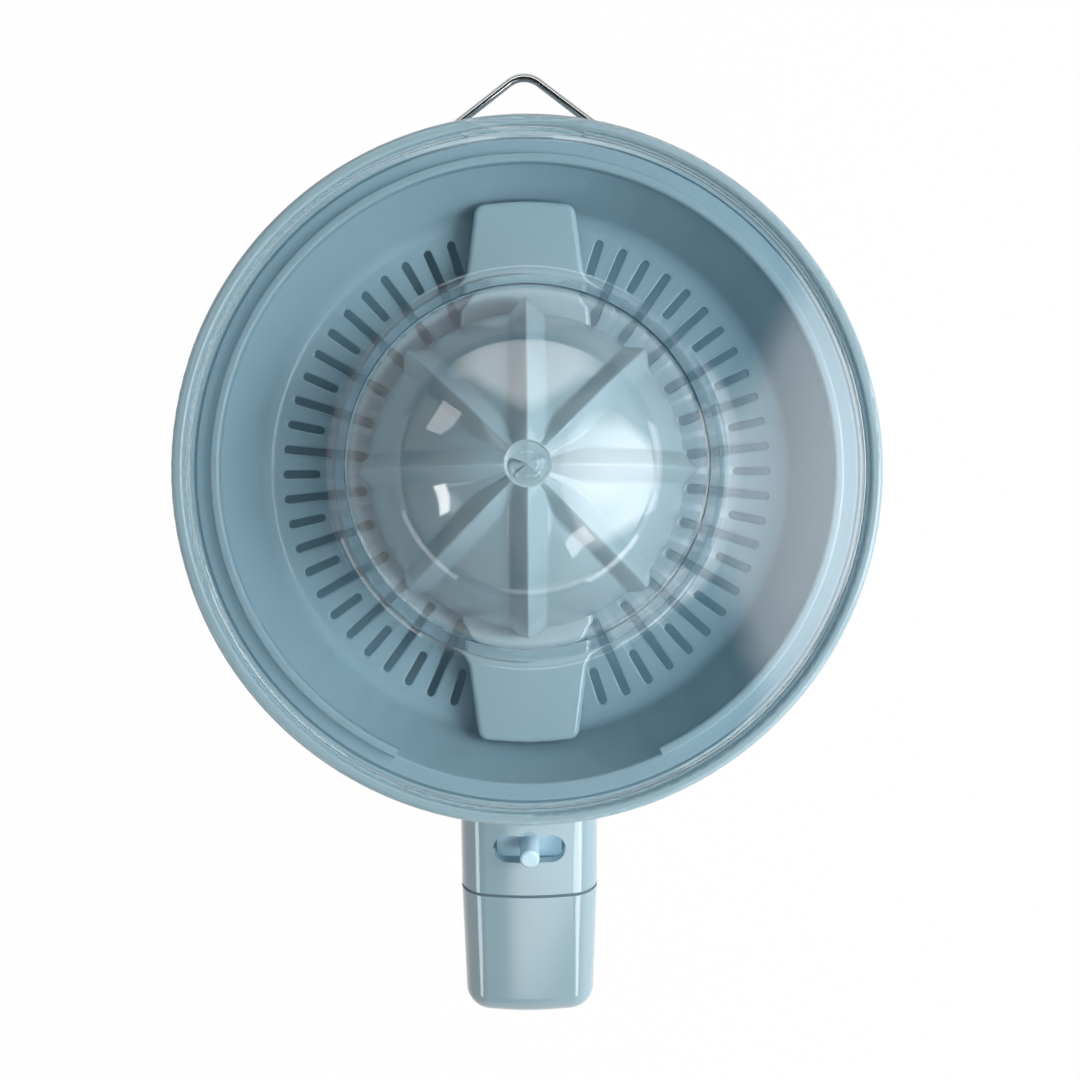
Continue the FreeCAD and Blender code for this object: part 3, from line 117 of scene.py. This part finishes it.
class Graph:
    """The nodes of a material, a lamp or the sky."""

    def __init__(self, owner):
        owner.use_nodes = True
        self.tree = owner.node_tree
        self.tree.nodes.clear()

    def node(self, kind, settings=None, sockets=None, output=0):
        """Adds a node, sets it up, then gives its sockets their values or links."""
        made = self.tree.nodes.new(kind)
        for name, setting in (settings or {}).items():
            setattr(made, name, setting)
        for name, value in (sockets or {}).items():
            if isinstance(value, Value):
                self.tree.links.new(value.socket, made.inputs[name])
            else:
                made.inputs[name].default_value = value
        return Value(self, made.outputs[output])

    def clamped(self, value):
        """The value held between 0 and 1."""
        return self.node("ShaderNodeMath", {"operation": "ADD", "use_clamp": True}, {0: value, 1: 0.0})

    def show(self, shader, kind="Material"):
        """Makes that shader the one that is seen."""
        out = self.tree.nodes.new(f"ShaderNodeOutput{kind}")
        self.tree.links.new(shader.socket, out.inputs["Surface"])
        return self


class Finish(Graph):
    """One material and the patterns it is made of."""

    def __init__(self, name):
        self.material = bpy.data.materials.new(name)
        super().__init__(self.material)

    def place(self, stretch=(1, 1, 1)):
        """Object coordinates, squeezed or stretched along the axes."""
        point = self.node("ShaderNodeTexCoord", output="Object")
        return self.node("ShaderNodeMapping", sockets={"Vector": point, "Scale": stretch})

    def noise(self, size, detail=2.0, stretch=(1, 1, 1)):
        """Soft random pattern from 0 to 1 with features about size millimetres wide."""
        scale = 1 / (size * MM)
        sockets = {"Vector": self.place(stretch), "Scale": scale, "Detail": detail}
        return self.node("ShaderNodeTexNoise", sockets=sockets)

    def tint(self, share, first, second):
        """Colour that goes from first to second with share; a Mix node's colour sockets go by number."""
        sockets = {0: share, 6: (*first, 1), 7: (*second, 1)}
        return self.node("ShaderNodeMix", {"data_type": "RGBA"}, sockets, output=2)

    def bump(self, height, depth, strength=1.0):
        """Surface relief of that depth in millimetres."""
        sockets = {"Height": height, "Distance": depth * MM, "Strength": strength}
        return self.node("ShaderNodeBump", sockets=sockets)

    def surface(self, sockets):
        """Plain plastic, glass or metal, as the sockets say."""
        return self.node("ShaderNodeBsdfPrincipled", sockets=sockets)

    def let_light_by(self, shader, tint, clear=False):
        """Lets tinted lamp light through a surface, and scattered light too where it is clear."""
        open_way = self.node("ShaderNodeBsdfTransparent", sockets={"Color": (*tint, 1)})
        light = self.node("ShaderNodeLightPath", output="Is Shadow Ray")
        if clear:
            light = light + self.node("ShaderNodeLightPath", output="Is Diffuse Ray")
        return self.node("ShaderNodeMixShader", sockets={0: light, 1: shader, 2: open_way})


def shade(colour, factor):
    """A lighter or darker tone of a colour."""
    return tuple(part * factor for part in colour)


def moulded(name, colour, roughness, grain=0.7, relief=0.004, spread=0.05, polish=0.0, passes=None):
    """Injection-moulded plastic: faint clouds in the colour, and a fine skin texture.

    polish is the weight of a glossier skin on top. A thin wall can let some lamp light through:
    passes is the tint that each side of it lets by."""
    cloud_size, cloud_gloss, skin_gloss = 28, 0.10, 0.06
    finish = Finish(name)
    cloud = finish.noise(cloud_size, detail=3)
    skin = finish.noise(grain, detail=2)
    sockets = {
        "Base Color": finish.tint(cloud, shade(colour, 1 - spread), shade(colour, 1 + spread)),
        "Roughness": roughness + cloud_gloss * (cloud - 0.5) + skin_gloss * (skin - 0.5),
        "Normal": finish.bump(skin, relief),
        "IOR": 1.5,
        "Coat Weight": polish,
        "Coat Roughness": 0.04,
    }
    shader = finish.surface(sockets)
    return finish.show(finish.let_light_by(shader, passes) if passes else shader)


def metal(name, colour, roughness, stretch=(1, 1, 1), grain=0.3, relief=0.002):
    """Bare metal with fine working marks, drawn out along one axis where stretch says so."""
    darkest, lightest, cloud_size, mark_gloss = 0.9, 1.06, 9, 0.18
    finish = Finish(name)
    marks = finish.noise(grain, detail=3, stretch=stretch)
    cloud = finish.noise(cloud_size, detail=2)
    sockets = {
        "Base Color": finish.tint(cloud, shade(colour, darkest), shade(colour, lightest)),
        "Metallic": 1.0,
        "Roughness": roughness + mark_gloss * (marks - 0.5),
        "Normal": finish.bump(marks, relief),
    }
    return finish.show(finish.surface(sockets))


def clear_plastic(name):
    """Clear moulded cover that lets lamps through to what is under it."""
    flow_size, flow_depth, haze_size, least_haze, haze_spread = 22, 0.03, 3, 0.012, 0.03
    finish = Finish(name)
    flow = finish.noise(flow_size, detail=2)
    haze = finish.noise(haze_size, detail=4)
    glass = finish.surface({
        "Base Color": (0.985, 0.992, 0.995, 1),
        "Roughness": least_haze + haze_spread * haze,
        "Normal": finish.bump(flow, flow_depth),
        "IOR": 1.42,
        "Transmission Weight": 1.0,
    })
    return finish.show(finish.let_light_by(glass, CLEAR_WALL, clear=True))


def floor_finish():
    """Pale floor that looks white to the camera and still takes the object's shadow."""
    most_white = 0.98
    finish = Finish("pale_floor")
    lit = finish.node("ShaderNodeBsdfDiffuse", sockets={"Color": (0.86, 0.86, 0.86, 1)})
    white = finish.node("ShaderNodeEmission", sockets={"Color": (1, 1, 1, 1), "Strength": 1.0})
    seen = finish.node("ShaderNodeLightPath", output="Is Camera Ray")
    mirrored = finish.node("ShaderNodeLightPath", output="Is Glossy Ray")
    passed = finish.node("ShaderNodeLightPath", output="Is Transmission Ray")
    share = (seen + mirrored + passed) * most_white
    return finish.show(finish.node("ShaderNodeMixShader", sockets={0: share, 1: lit, 2: white}))


# Mesh helpers

def wire(bm, corners, closed):
    """Joins corners (x, y, z) by edges; a fourth number rounds that corner."""
    points = [Vector(corner[:3]) for corner in corners]
    verts = [bm.verts.new(point) for point in points]
    count = len(verts)
    for i in range(count if closed else count - 1):
        bm.edges.new((verts[i], verts[(i + 1) % count]))
    for i, corner in enumerate(corners):
        if len(corner) < 4:
            continue
        before, here, after = points[i - 1], points[i], points[(i + 1) % count]
        turn = (here - before).angle(after - here)
        bmesh.ops.bevel(
            bm, geom=[verts[i]], offset=corner[3] * math.tan(turn / 2), offset_type="OFFSET",
            affect="VERTICES", segments=max(2, round(turn / ARC_STEP)), profile=0.5, material=-1)


def tidy(bm):
    """Joins points that coincide and turns all faces outwards."""
    bmesh.ops.remove_doubles(bm, verts=bm.verts, dist=MERGE)
    bmesh.ops.recalc_face_normals(bm, faces=bm.faces)
    return bm


def turned(corners, closed=True, steps=TURN_STEPS, start=0.0, sweep=360.0):
    """Turns a profile of (radius, height) corners about the upright axis; a third number rounds one."""
    bm = bmesh.new()
    wire(bm, [(r, 0, z, *rounding) for r, z, *rounding in corners], closed)
    turn = Matrix.Rotation(math.radians(start), 3, "Z")
    bmesh.ops.rotate(bm, verts=bm.verts, cent=(0, 0, 0), matrix=turn)
    whole = sweep == 360.0
    bmesh.ops.spin(
        bm, geom=bm.verts[:] + bm.edges[:], cent=(0, 0, 0), axis=(0, 0, 1),
        angle=math.radians(sweep), steps=steps, use_merge=whole)
    if not whole:
        bmesh.ops.holes_fill(bm, edges=bm.edges, sides=0)
    return tidy(bm)


def plate(corners, low, high):
    """Flat outline of (x, y) corners raised from low to high."""
    bm = bmesh.new()
    wire(bm, [(x, y, low, *rounding) for x, y, *rounding in corners], True)
    bmesh.ops.remove_doubles(bm, verts=bm.verts, dist=MERGE)
    bmesh.ops.edgeloop_fill(bm, edges=bm.edges)
    raised = bmesh.ops.extrude_face_region(bm, geom=bm.faces[:])["geom"]
    top = [part for part in raised if isinstance(part, bmesh.types.BMVert)]
    bmesh.ops.translate(bm, verts=top, vec=(0, 0, high - low))
    bmesh.ops.recalc_face_normals(bm, faces=bm.faces)
    return bm


def soften(bm, edges, width, segments):
    """Rounds edges over."""
    bmesh.ops.bevel(
        bm, geom=edges, offset=width, offset_type="OFFSET", affect="EDGES",
        segments=segments, profile=0.5, material=-1, clamp_overlap=True)
    return bm


def sharp_edges(bm, height, least=60):
    """Edges that lie at one height and turn by more than least degrees."""
    near = 0.01
    level = []
    for edge in bm.edges:
        if len(edge.link_faces) == 2 and edge.calc_face_angle() > math.radians(least):
            if all(abs(vert.co.z - height) < near for vert in edge.verts):
                level.append(edge)
    return level


def loose_object(bm, name):
    """Puts a mesh into the scene as an object at the origin."""
    mesh = bpy.data.meshes.new(name)
    bm.to_mesh(mesh)
    bm.free()
    made = bpy.data.objects.new(name, mesh)
    bpy.context.scene.collection.objects.link(made)
    return made


def carve(blank, tool, operation="DIFFERENCE"):
    """Cuts tool out of blank, or joins the two."""
    body = loose_object(blank, "blank")
    cutter = loose_object(tool, "tool")
    step = body.modifiers.new("carve", "BOOLEAN")
    step.object = cutter
    step.operation = operation
    step.solver = "EXACT"
    depsgraph = bpy.context.evaluated_depsgraph_get()
    mesh = bpy.data.meshes.new_from_object(body.evaluated_get(depsgraph))
    bm = bmesh.new()
    bm.from_mesh(mesh)
    for used in (body, cutter):
        data = used.data
        bpy.data.objects.remove(used)
        bpy.data.meshes.remove(data)
    bpy.data.meshes.remove(mesh)
    return bm


def ring_of(bm, count):
    """Repeats a mesh evenly round the upright axis."""
    mesh = bpy.data.meshes.new("repeat")
    bm.to_mesh(mesh)
    for i in range(1, count):
        before = set(bm.verts)
        bm.from_mesh(mesh)
        fresh = [vert for vert in bm.verts if vert not in before]
        turn = Matrix.Rotation(FULL_TURN * i / count, 3, "Z")
        bmesh.ops.rotate(bm, verts=fresh, cent=(0, 0, 0), matrix=turn)
    bpy.data.meshes.remove(mesh)
    return bm


def finish_piece(name, bm, body, node, finish, crease=35):
    """Makes a mesh a piece of the object, in place of a CAD node."""
    bmesh.ops.scale(bm, verts=bm.verts, vec=(MM, MM, MM))
    made = loose_object(bm, name)
    made.data.materials.append(finish.material)
    made.data.shade_smooth()
    made.data.set_sharp_from_angle(angle=math.radians(crease))
    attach(made, body)
    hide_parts(node)
    return made


# Pieces

def make_cover(finish):
    """Clear cover: flat annulus, raised crown with a soft shoulder, ball knob and thumb tab."""
    wall = 1.0
    foot = COVER_SEAT + 0.05
    inner_edge = COVER_EDGE - wall
    knob, knob_top, flat_start, flat_end = 4.9, 242.1, 48.0, 73.0
    crown_inside = 236.83
    outside = [
        (0, knob_top),
        (knob, knob_top, 4.0),
        (knob, 237.9, 0.4),
        (10.5, 236.32),
        (16.0, 234.67),
        (22.0, 232.76),
        (27.5, 230.92, 6),
        (38.8, 221.0, 11),
        (43.2, 207.7, 3),
        (flat_start, 206.83),
        (flat_end, 202.31),
        (COVER_EDGE, 201.6, 2.4),
        (COVER_EDGE, foot, 0.3),
    ]
    inside = [
        (inner_edge, foot, 0.3),
        (inner_edge, 200.76, 1.4),
        (flat_end, 201.29),
        (flat_start, 205.81),
        (42.44, 206.82, 4),
        (37.94, 220.43, 10),
        (26.99, 230.04, 5),
        (21.69, 231.81),
        (15.7, 233.71),
        (10.22, 235.36),
        (5.0, crown_inside, 0.6),
        (0, crown_inside),
    ]
    bm = turned(outside + inside, closed=False, steps=COVER_STEPS)
    half, root, tip, corner, tab_low, tab_top = 13.6, 74.5, 78.3, 1.2, 200.3, 201.8
    tab = plate([(-half, root), (half, root), (half, tip, corner), (-half, tip, corner)], tab_low, tab_top)
    soften(tab, sharp_edges(tab, tab_top), 0.4, 2)
    bm = carve(bm, tab, "UNION")
    return finish_piece("clear_cover", bm, "lid", "dust_cover", finish)


CORE_BEND = (CONE_HEIGHT ** 2 + CONE_RADIUS ** 2) / (2 * CONE_RADIUS)


def core_radius(rise):
    """Radius of the cone's round core at a rise above its foot."""
    return math.sqrt(CORE_BEND ** 2 - rise ** 2) - (CORE_BEND - CONE_RADIUS)


def ridge_height(x, y):
    """How far the wedge ridges stand out from the core there; two of the eight run on to the peak."""
    nearby, crest_round, foot_blend, peak_blend = 0.5, 0.2, 0.06, 4.0
    long_half, long_crest = 4.0, 3.7
    short_half, narrowing, steepness = 3.6, 0.3, 0.85
    radius = math.hypot(x, y)
    tallest = 0.0
    for i in range(RIDGES):
        turn = math.atan2(y, x) - FULL_TURN * i / RIDGES
        if math.cos(turn) < nearby:
            continue
        off = math.hypot(radius * math.sin(turn), crest_round)
        if i % 4 == 2:
            half, crest = long_half, long_crest
        else:
            half = min(short_half, narrowing * radius)
            crest = steepness * half
        slope = 1 - off / half
        wedge = (slope + math.hypot(slope, foot_blend)) / 2
        tallest = max(tallest, crest * wedge)
    return tallest * min(1.0, radius / peak_blend)


def make_cone(finish):
    """Pressing cone: a domed core with eight wedge ridges that meet at the peak."""
    wall = 2.6
    bore, boss, bore_top, boss_low = 4.2, 7.4, 214.0, 191.5
    on_axis, skin_depth = 0.3, 0.6
    near_peak, at_peak = [0.985, 0.994], 0.996
    shares = [i / CONE_RINGS for i in range(CONE_RINGS)] + near_peak
    outside = [(core_radius(CONE_HEIGHT * s), CONE_BASE + CONE_HEIGHT * s) for s in shares]
    peak = CONE_BASE + CONE_HEIGHT * at_peak
    inside = [
        (0, bore_top),
        (bore, bore_top),
        (bore, boss_low),
        (boss, boss_low),
        (boss, 219.5),
        (core_radius(30.0) - wall, 216.0),
        (core_radius(15.0) - wall, 201.5),
        (CONE_RADIUS - wall, CONE_BASE),
    ]
    bm = turned(inside + outside + [(0, peak)], closed=False, steps=RIDGES * STEPS_PER_RIDGE)
    for vert in bm.verts:
        x, y, z = vert.co
        radius = math.hypot(x, y)
        rise = min(max(z - CONE_BASE, 0), CONE_HEIGHT)
        if radius < on_axis or radius < core_radius(rise) - skin_depth:
            continue
        height = ridge_height(x, y)
        outward = (radius + CORE_BEND - CONE_RADIUS) / CORE_BEND
        vert.co.x += x / radius * height * outward
        vert.co.y += y / radius * height * outward
        vert.co.z += height * rise / CORE_BEND
    bmesh.ops.recalc_face_normals(bm, faces=bm.faces)
    return finish_piece("pressing_cone", bm, "reamer", "reamer", finish, crease=40)


def make_sweeper(finish):
    """Ring with two wings that stirs the pulp as it turns with the cone."""
    hub_bore, collar_bore, collar, ring_edge = 11.5, 13.3, 15.3, 35.0
    half_root, half_tip, reach, edge = 15.0, 11.5, 62.9, 61.8
    ring_low, ring_top = SWEEPER_LOW + 0.02, SWEEPER_TOP - 0.1
    collar_low, rib_low, dog_top = 178.4, 176.8, 192.0
    half_rib, rib_end, rib_corner = 0.9, 57.2, 0.4
    dog_start, dog_end, dog_width, dog_corner = 20.0, 26.0, 3.0, 0.6
    side = [
        (half_root, ring_edge, 8),
        (half_tip, edge, 2.5),
        (0, reach, 46),
        (-half_tip, edge, 2.5),
        (-half_root, ring_edge, 8),
    ]
    outline = side + [(-x, -y, rounding) for x, y, rounding in side]
    wings = plate(outline, SWEEPER_LOW, SWEEPER_TOP)
    soften(wings, sharp_edges(wings, SWEEPER_TOP), 1.3, 5)
    soften(wings, sharp_edges(wings, SWEEPER_LOW), 0.4, 2)
    below, above = 170, 200
    bore = turned([(0, below), (hub_bore, below), (hub_bore, above), (0, above)], closed=False, steps=96)
    wings = carve(wings, bore)
    ring = turned([
        (hub_bore, SWEEPER_LOW),
        (collar_bore, SWEEPER_LOW),
        (collar_bore, collar_low),
        (collar, collar_low, 0.4),
        (collar, ring_low),
        (ring_edge, ring_low, 0.4),
        (ring_edge, ring_top, 0.8),
        (hub_bore, ring_top),
    ])
    bm = carve(wings, ring, "UNION")
    for sign in (1, -1):
        rib = plate([
            (-half_rib, sign * ring_edge, rib_corner), (half_rib, sign * ring_edge, rib_corner),
            (half_rib, sign * rib_end, rib_corner), (-half_rib, sign * rib_end, rib_corner),
        ], rib_low, SWEEPER_LOW + 0.5)
        bm = carve(bm, rib, "UNION")
        for near in (1.5, -4.5):
            far = near + dog_width
            left, right = sorted((sign * dog_start, sign * dog_end))
            dog = plate([
                (left, near, dog_corner), (right, near, dog_corner),
                (right, far, dog_corner), (left, far, dog_corner),
            ], SWEEPER_TOP - 1.0, dog_top)
            bm = carve(bm, dog, "UNION")
    return finish_piece("pulp_sweeper", bm, "sweeper", "sweeper", finish)


def make_basket(finish):
    """Strainer basket with long and short slots and a lip that opens towards the spout."""
    wall = 1.8
    neck_bore, neck, flange = 11.0, 13.0, 74.7
    bm = turned([
        (neck_bore, BASKET_FLOOR - wall),
        (BASKET_FOOT + wall, BASKET_FLOOR - wall, 4),
        (BASKET_MOUTH + wall - 0.2, STRAINER_SEAT),
        (flange, STRAINER_SEAT),
        (flange, COVER_SEAT, 0.6),
        (BASKET_MOUTH, COVER_SEAT, 0.8),
        (BASKET_FOOT, BASKET_FLOOR, 4),
        (neck, BASKET_FLOOR, 1),
        (neck, SWEEPER_LOW),
        (neck_bore, SWEEPER_LOW),
    ])
    half, outer, end_round = 0.95, 57.2, 0.93
    long_start, short_start, between = 37.6, 48.4, 6.0
    slots_from, slots_to = 37, 58
    for inner, turn in ((long_start, 0.0), (short_start, between)):
        slot = plate([
            (-half, inner, end_round), (half, inner, end_round),
            (half, outer, end_round), (-half, outer, end_round)], BASKET_FLOOR - 4, BASKET_FLOOR + 2)
        bmesh.ops.rotate(
            slot, verts=slot.verts, cent=(0, 0, 0), matrix=Matrix.Rotation(math.radians(turn), 3, "Z"))
        bm = carve(bm, ring_of(slot, SLOTS))
    mouths = [
        edge for edge in sharp_edges(bm, BASKET_FLOOR)
        if all(slots_from < math.hypot(vert.co.x, vert.co.y) < slots_to for vert in edge.verts)]
    soften(bm, mouths, 0.3, 2)
    lip_out, lip_in, lip_low, lip_top = BASKET_MOUTH + 0.4, BASKET_MOUTH - 1.8, COVER_SEAT - 1.6, 199.6
    lip = turned([
        (lip_out, lip_low),
        (lip_out, lip_top, 0.7),
        (lip_in, lip_top, 0.7),
        (lip_in, lip_low, 0.3),
    ], steps=200, start=-65.0, sweep=310.0)
    bm = carve(bm, lip, "UNION")
    return finish_piece("slotted_basket", bm, "bowl", "strainer", finish)


def make_spring(finish):
    """Return spring, squeezed onto its gear in the object as the shaft goes down; here the CAD coil is
    only copied as a piece with a mesh of its own, carried by the output gear.
    """
    bm = bmesh.new()
    bm.from_mesh(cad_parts["return_spring"].data)
    bmesh.ops.scale(bm, verts=bm.verts, vec=(1 / MM, 1 / MM, 1 / MM))
    coil = finish_piece("spring_coil", bm, "output", "return_spring", finish)
    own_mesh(coil)
    return coil


# Lamps, floor and camera, whose lengths are in metres

AIM = Vector((0, 0, 0.205))
FLOOR_REACH = 3.0


def softbox(name, slant_x, slant_y, distance, across, along, brightness, shines=True, mirrored=True):
    """Lamp that faces the cover; slants are its offset per unit of height above the cover.

    distance is from the cover, and across and along are the lamp's sides. A card that doesn't shine
    is only mirrored in what is glossy; a fill lamp is never mirrored."""
    data = bpy.data.lights.new(name, "AREA")
    data.shape = "RECTANGLE"
    data.size = across
    data.size_y = along
    data.energy = brightness * math.pi * across * along
    lamp = bpy.data.objects.new(name, data)
    way = Vector((slant_x, slant_y, 1)).normalized()
    lamp.location = AIM + way * distance
    lamp.rotation_euler = way.to_track_quat("Z", "Y").to_euler()
    lamp.visible_diffuse = shines
    lamp.visible_glossy = mirrored
    lamp.visible_transmission = mirrored
    bpy.context.scene.collection.objects.link(lamp)
    return data


def fade(data):
    """Makes a lamp narrower towards its lower edge, and dims it towards its borders."""
    low_half, widening, side_rise, top_rise, hot_fall = 0.04, 0.523, 10.0, 12.0, 3.0
    graph = Graph(data)
    spot = graph.node("ShaderNodeNewGeometry", output="Parametric")
    side = graph.node("ShaderNodeSeparateXYZ", sockets={0: spot}, output="X") - 0.5
    height = graph.node("ShaderNodeSeparateXYZ", sockets={0: spot}, output="Y")
    sides = graph.clamped(side_rise * (low_half + widening * height - abs(side)))
    top = graph.clamped(top_rise * (1 - height))
    hot = 1 - hot_fall * (height - 0.5) * (height - 0.5)
    glow = graph.node("ShaderNodeEmission", sockets={"Strength": hot * sides * top})
    graph.show(glow, "Light")


def dim(data):
    """Makes a card fade out softly towards all four borders."""
    side_rise, end_rise = 6.0, 7.0
    graph = Graph(data)
    spot = graph.node("ShaderNodeNewGeometry", output="Parametric")
    side = graph.node("ShaderNodeSeparateXYZ", sockets={0: spot}, output="X")
    height = graph.node("ShaderNodeSeparateXYZ", sockets={0: spot}, output="Y")
    sides = graph.clamped(side_rise * side * (1 - side))
    ends = graph.clamped(end_rise * height * (1 - height))
    graph.show(graph.node("ShaderNodeEmission", sockets={"Strength": sides * ends}), "Light")


def make_sky():
    """Studio walls: bright near the ground, dark overhead, and white behind the object."""
    overhead, near_ground, mirrored_more = 0.03, 0.5, 0.4
    world = bpy.data.worlds.new("studio")
    graph = Graph(world)
    way = graph.node("ShaderNodeTexCoord", output="Generated")
    height = graph.node("ShaderNodeSeparateXYZ", sockets={0: way}, output="Z")
    low = 1 - abs(height)
    seen = graph.node("ShaderNodeLightPath", output="Is Camera Ray")
    mirrored = graph.node("ShaderNodeLightPath", output="Is Glossy Ray")
    passed = graph.node("ShaderNodeLightPath", output="Is Transmission Ray")
    plain = overhead + near_ground * low * low * low
    shiny = graph.clamped(mirrored + passed) * mirrored_more * low * low
    sky = graph.node("ShaderNodeBackground", sockets={
        "Color": (1, 1, 1, 1), "Strength": (1 - seen) * (plain + shiny) + seen})
    graph.show(sky, "World")
    bpy.context.scene.world = world


def make_stage():
    """Floor, sky and lamps: key and fills, banks at the sides, then cards and windows to be mirrored."""
    bm = bmesh.new()
    bmesh.ops.create_grid(bm, x_segments=1, y_segments=1, size=FLOOR_REACH)
    floor = loose_object(bm, "floor")
    floor.data.materials.append(floor_finish().material)
    make_sky()
    # Each lamp: slant to the right and to the back, distance, two sides, brightness
    fade(softbox("key_softbox", 0.857, -0.09, 1.0, 1.06, 0.545, 6.0))
    softbox("key_fill", 0.834, -0.088, 1.1, 0.7, 0.6, 4.0, mirrored=False)
    softbox("top_fill", 0.05, -0.15, 1.2, 0.8, 0.8, 1.4, mirrored=False)
    softbox("right_bank", 2.2, 0.0, 1.2, 0.8, 0.6, 3.5)
    softbox("front_bank", 1.85, -1.07, 1.2, 0.8, 0.42, 1.2)
    softbox("left_bank", -2.0, 0.1, 1.4, 1.0, 0.6, 0.6)
    softbox("left_strip", -2.6, -2.0, 1.2, 0.8, 0.22, 4.2, shines=False)
    softbox("right_card", 1.46, -1.55, 1.2, 0.6, 0.34, 4.8, shines=False)
    dim(softbox("front_card", 0.2, -1.23, 1.3, 0.9, 0.45, 2.2, shines=False))
    dim(softbox("back_card", 0.0, 0.885, 1.0, 1.0, 0.22, 3.4, shines=False))
    softbox("small_window", -0.705, -0.240, 1.0, 0.19, 0.02, 11.0, shines=False)
    softbox("side_window", -0.685, 0.421, 1.0, 0.2, 0.04, 3.4, shines=False)
    softbox("low_window", 0.423, -0.593, 1.0, 0.18, 0.03, 5.0, shines=False)


def make_camera():
    """Camera straight above, a little off the axis, as in the photograph."""
    data = bpy.data.cameras.new("photo_view")
    data.sensor_width = 36.0
    data.lens = 71.4
    data.shift_x = 0.0186
    camera = bpy.data.objects.new("photo_view", data)
    camera.location = (-1.7 * MM, -15.8 * MM, 680.0 * MM)
    camera.rotation_euler.z = math.radians(-0.43)
    bpy.context.scene.collection.objects.link(camera)
    bpy.context.scene.camera = camera


make_camera()
make_stage()

shell_blue = moulded("shell_blue", PALE_BLUE, 0.10, polish=0.7)
bowl_blue = moulded("bowl_blue", PALE_BLUE, 0.10, polish=0.7, passes=THIN_WALL)
basket_blue = moulded("basket_blue", BASKET_BLUE, 0.16, grain=0.9, passes=THIN_WALL)
cone_blue = moulded("cone_blue", PALE_BLUE, 0.18)
# slider_blue carries painted light: a lighter colour in place of light reaching the shaded pocket
slider_blue = moulded("slider_blue", SLIDER_BLUE, 0.22)
cover_clear = clear_plastic("cover_clear")
seal_rubber = moulded("seal_rubber", (0.10, 0.16, 0.20), 0.6, grain=0.4, relief=0.01)
foot_rubber = moulded("foot_rubber", (0.05, 0.05, 0.055), 0.7, grain=0.5, relief=0.02)
wire_chrome = metal("wire_chrome", (0.62, 0.63, 0.64), 0.16, stretch=(0.2, 0.2, 1))
turned_steel = metal("turned_steel", (0.56, 0.57, 0.58), 0.3, stretch=(1, 1, 6))
spring_steel = metal("spring_steel", (0.5, 0.51, 0.53), 0.25)
sintered_bronze = metal("sintered_bronze", (0.55, 0.38, 0.18), 0.45, grain=0.5, relief=0.01)
enamelled_copper = metal("enamelled_copper", (0.55, 0.22, 0.09), 0.35, stretch=(1, 1, 10))
dark_magnet = moulded("dark_magnet", (0.05, 0.05, 0.055), 0.55, grain=0.4, relief=0.02)
gear_nylon = moulded("gear_nylon", (0.78, 0.76, 0.69), 0.42)
switch_black = moulded("switch_black", (0.03, 0.03, 0.033), 0.4)

make_cover(cover_clear)
make_cone(cone_blue)
make_sweeper(shell_blue)
make_basket(basket_blue)
make_spring(spring_steel)

NODE_FINISHES = {
    shell_blue: ["motor_housing", "base_plate"],
    bowl_blue: ["juice_bowl", "spout_tip"],
    slider_blue: ["drip_slider"],
    seal_rubber: ["spout_seal", "shaft_seal"],
    foot_rubber: ["foot_1", "foot_2", "foot_3", "foot_4", "cord_gland"],
    wire_chrome: ["hanging_bail"],
    turned_steel: [
        "base_screw_1", "base_screw_2", "base_screw_3", "deck_screw_1", "deck_screw_2", "deck_screw_3",
        "motor_can", "motor_cap", "rotor_shaft", "idler_axle", "idler_clip", "drive_shaft"],
    sintered_bronze: ["rotor_bush_upper", "rotor_bush_lower", "shaft_bush"],
    enamelled_copper: ["stator_coil"],
    dark_magnet: ["rotor_magnet"],
    gear_nylon: ["gear_deck", "motor_pinion", "idler_gear", "output_gear"],
    switch_black: ["microswitch", "switch_plunger"],
}
for finish, names in NODE_FINISHES.items():
    for name in names:
        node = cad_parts[name]
        node.data.materials.clear()
        node.data.materials.append(finish.material)

bpy.context.scene.view_settings.view_transform = "Standard"
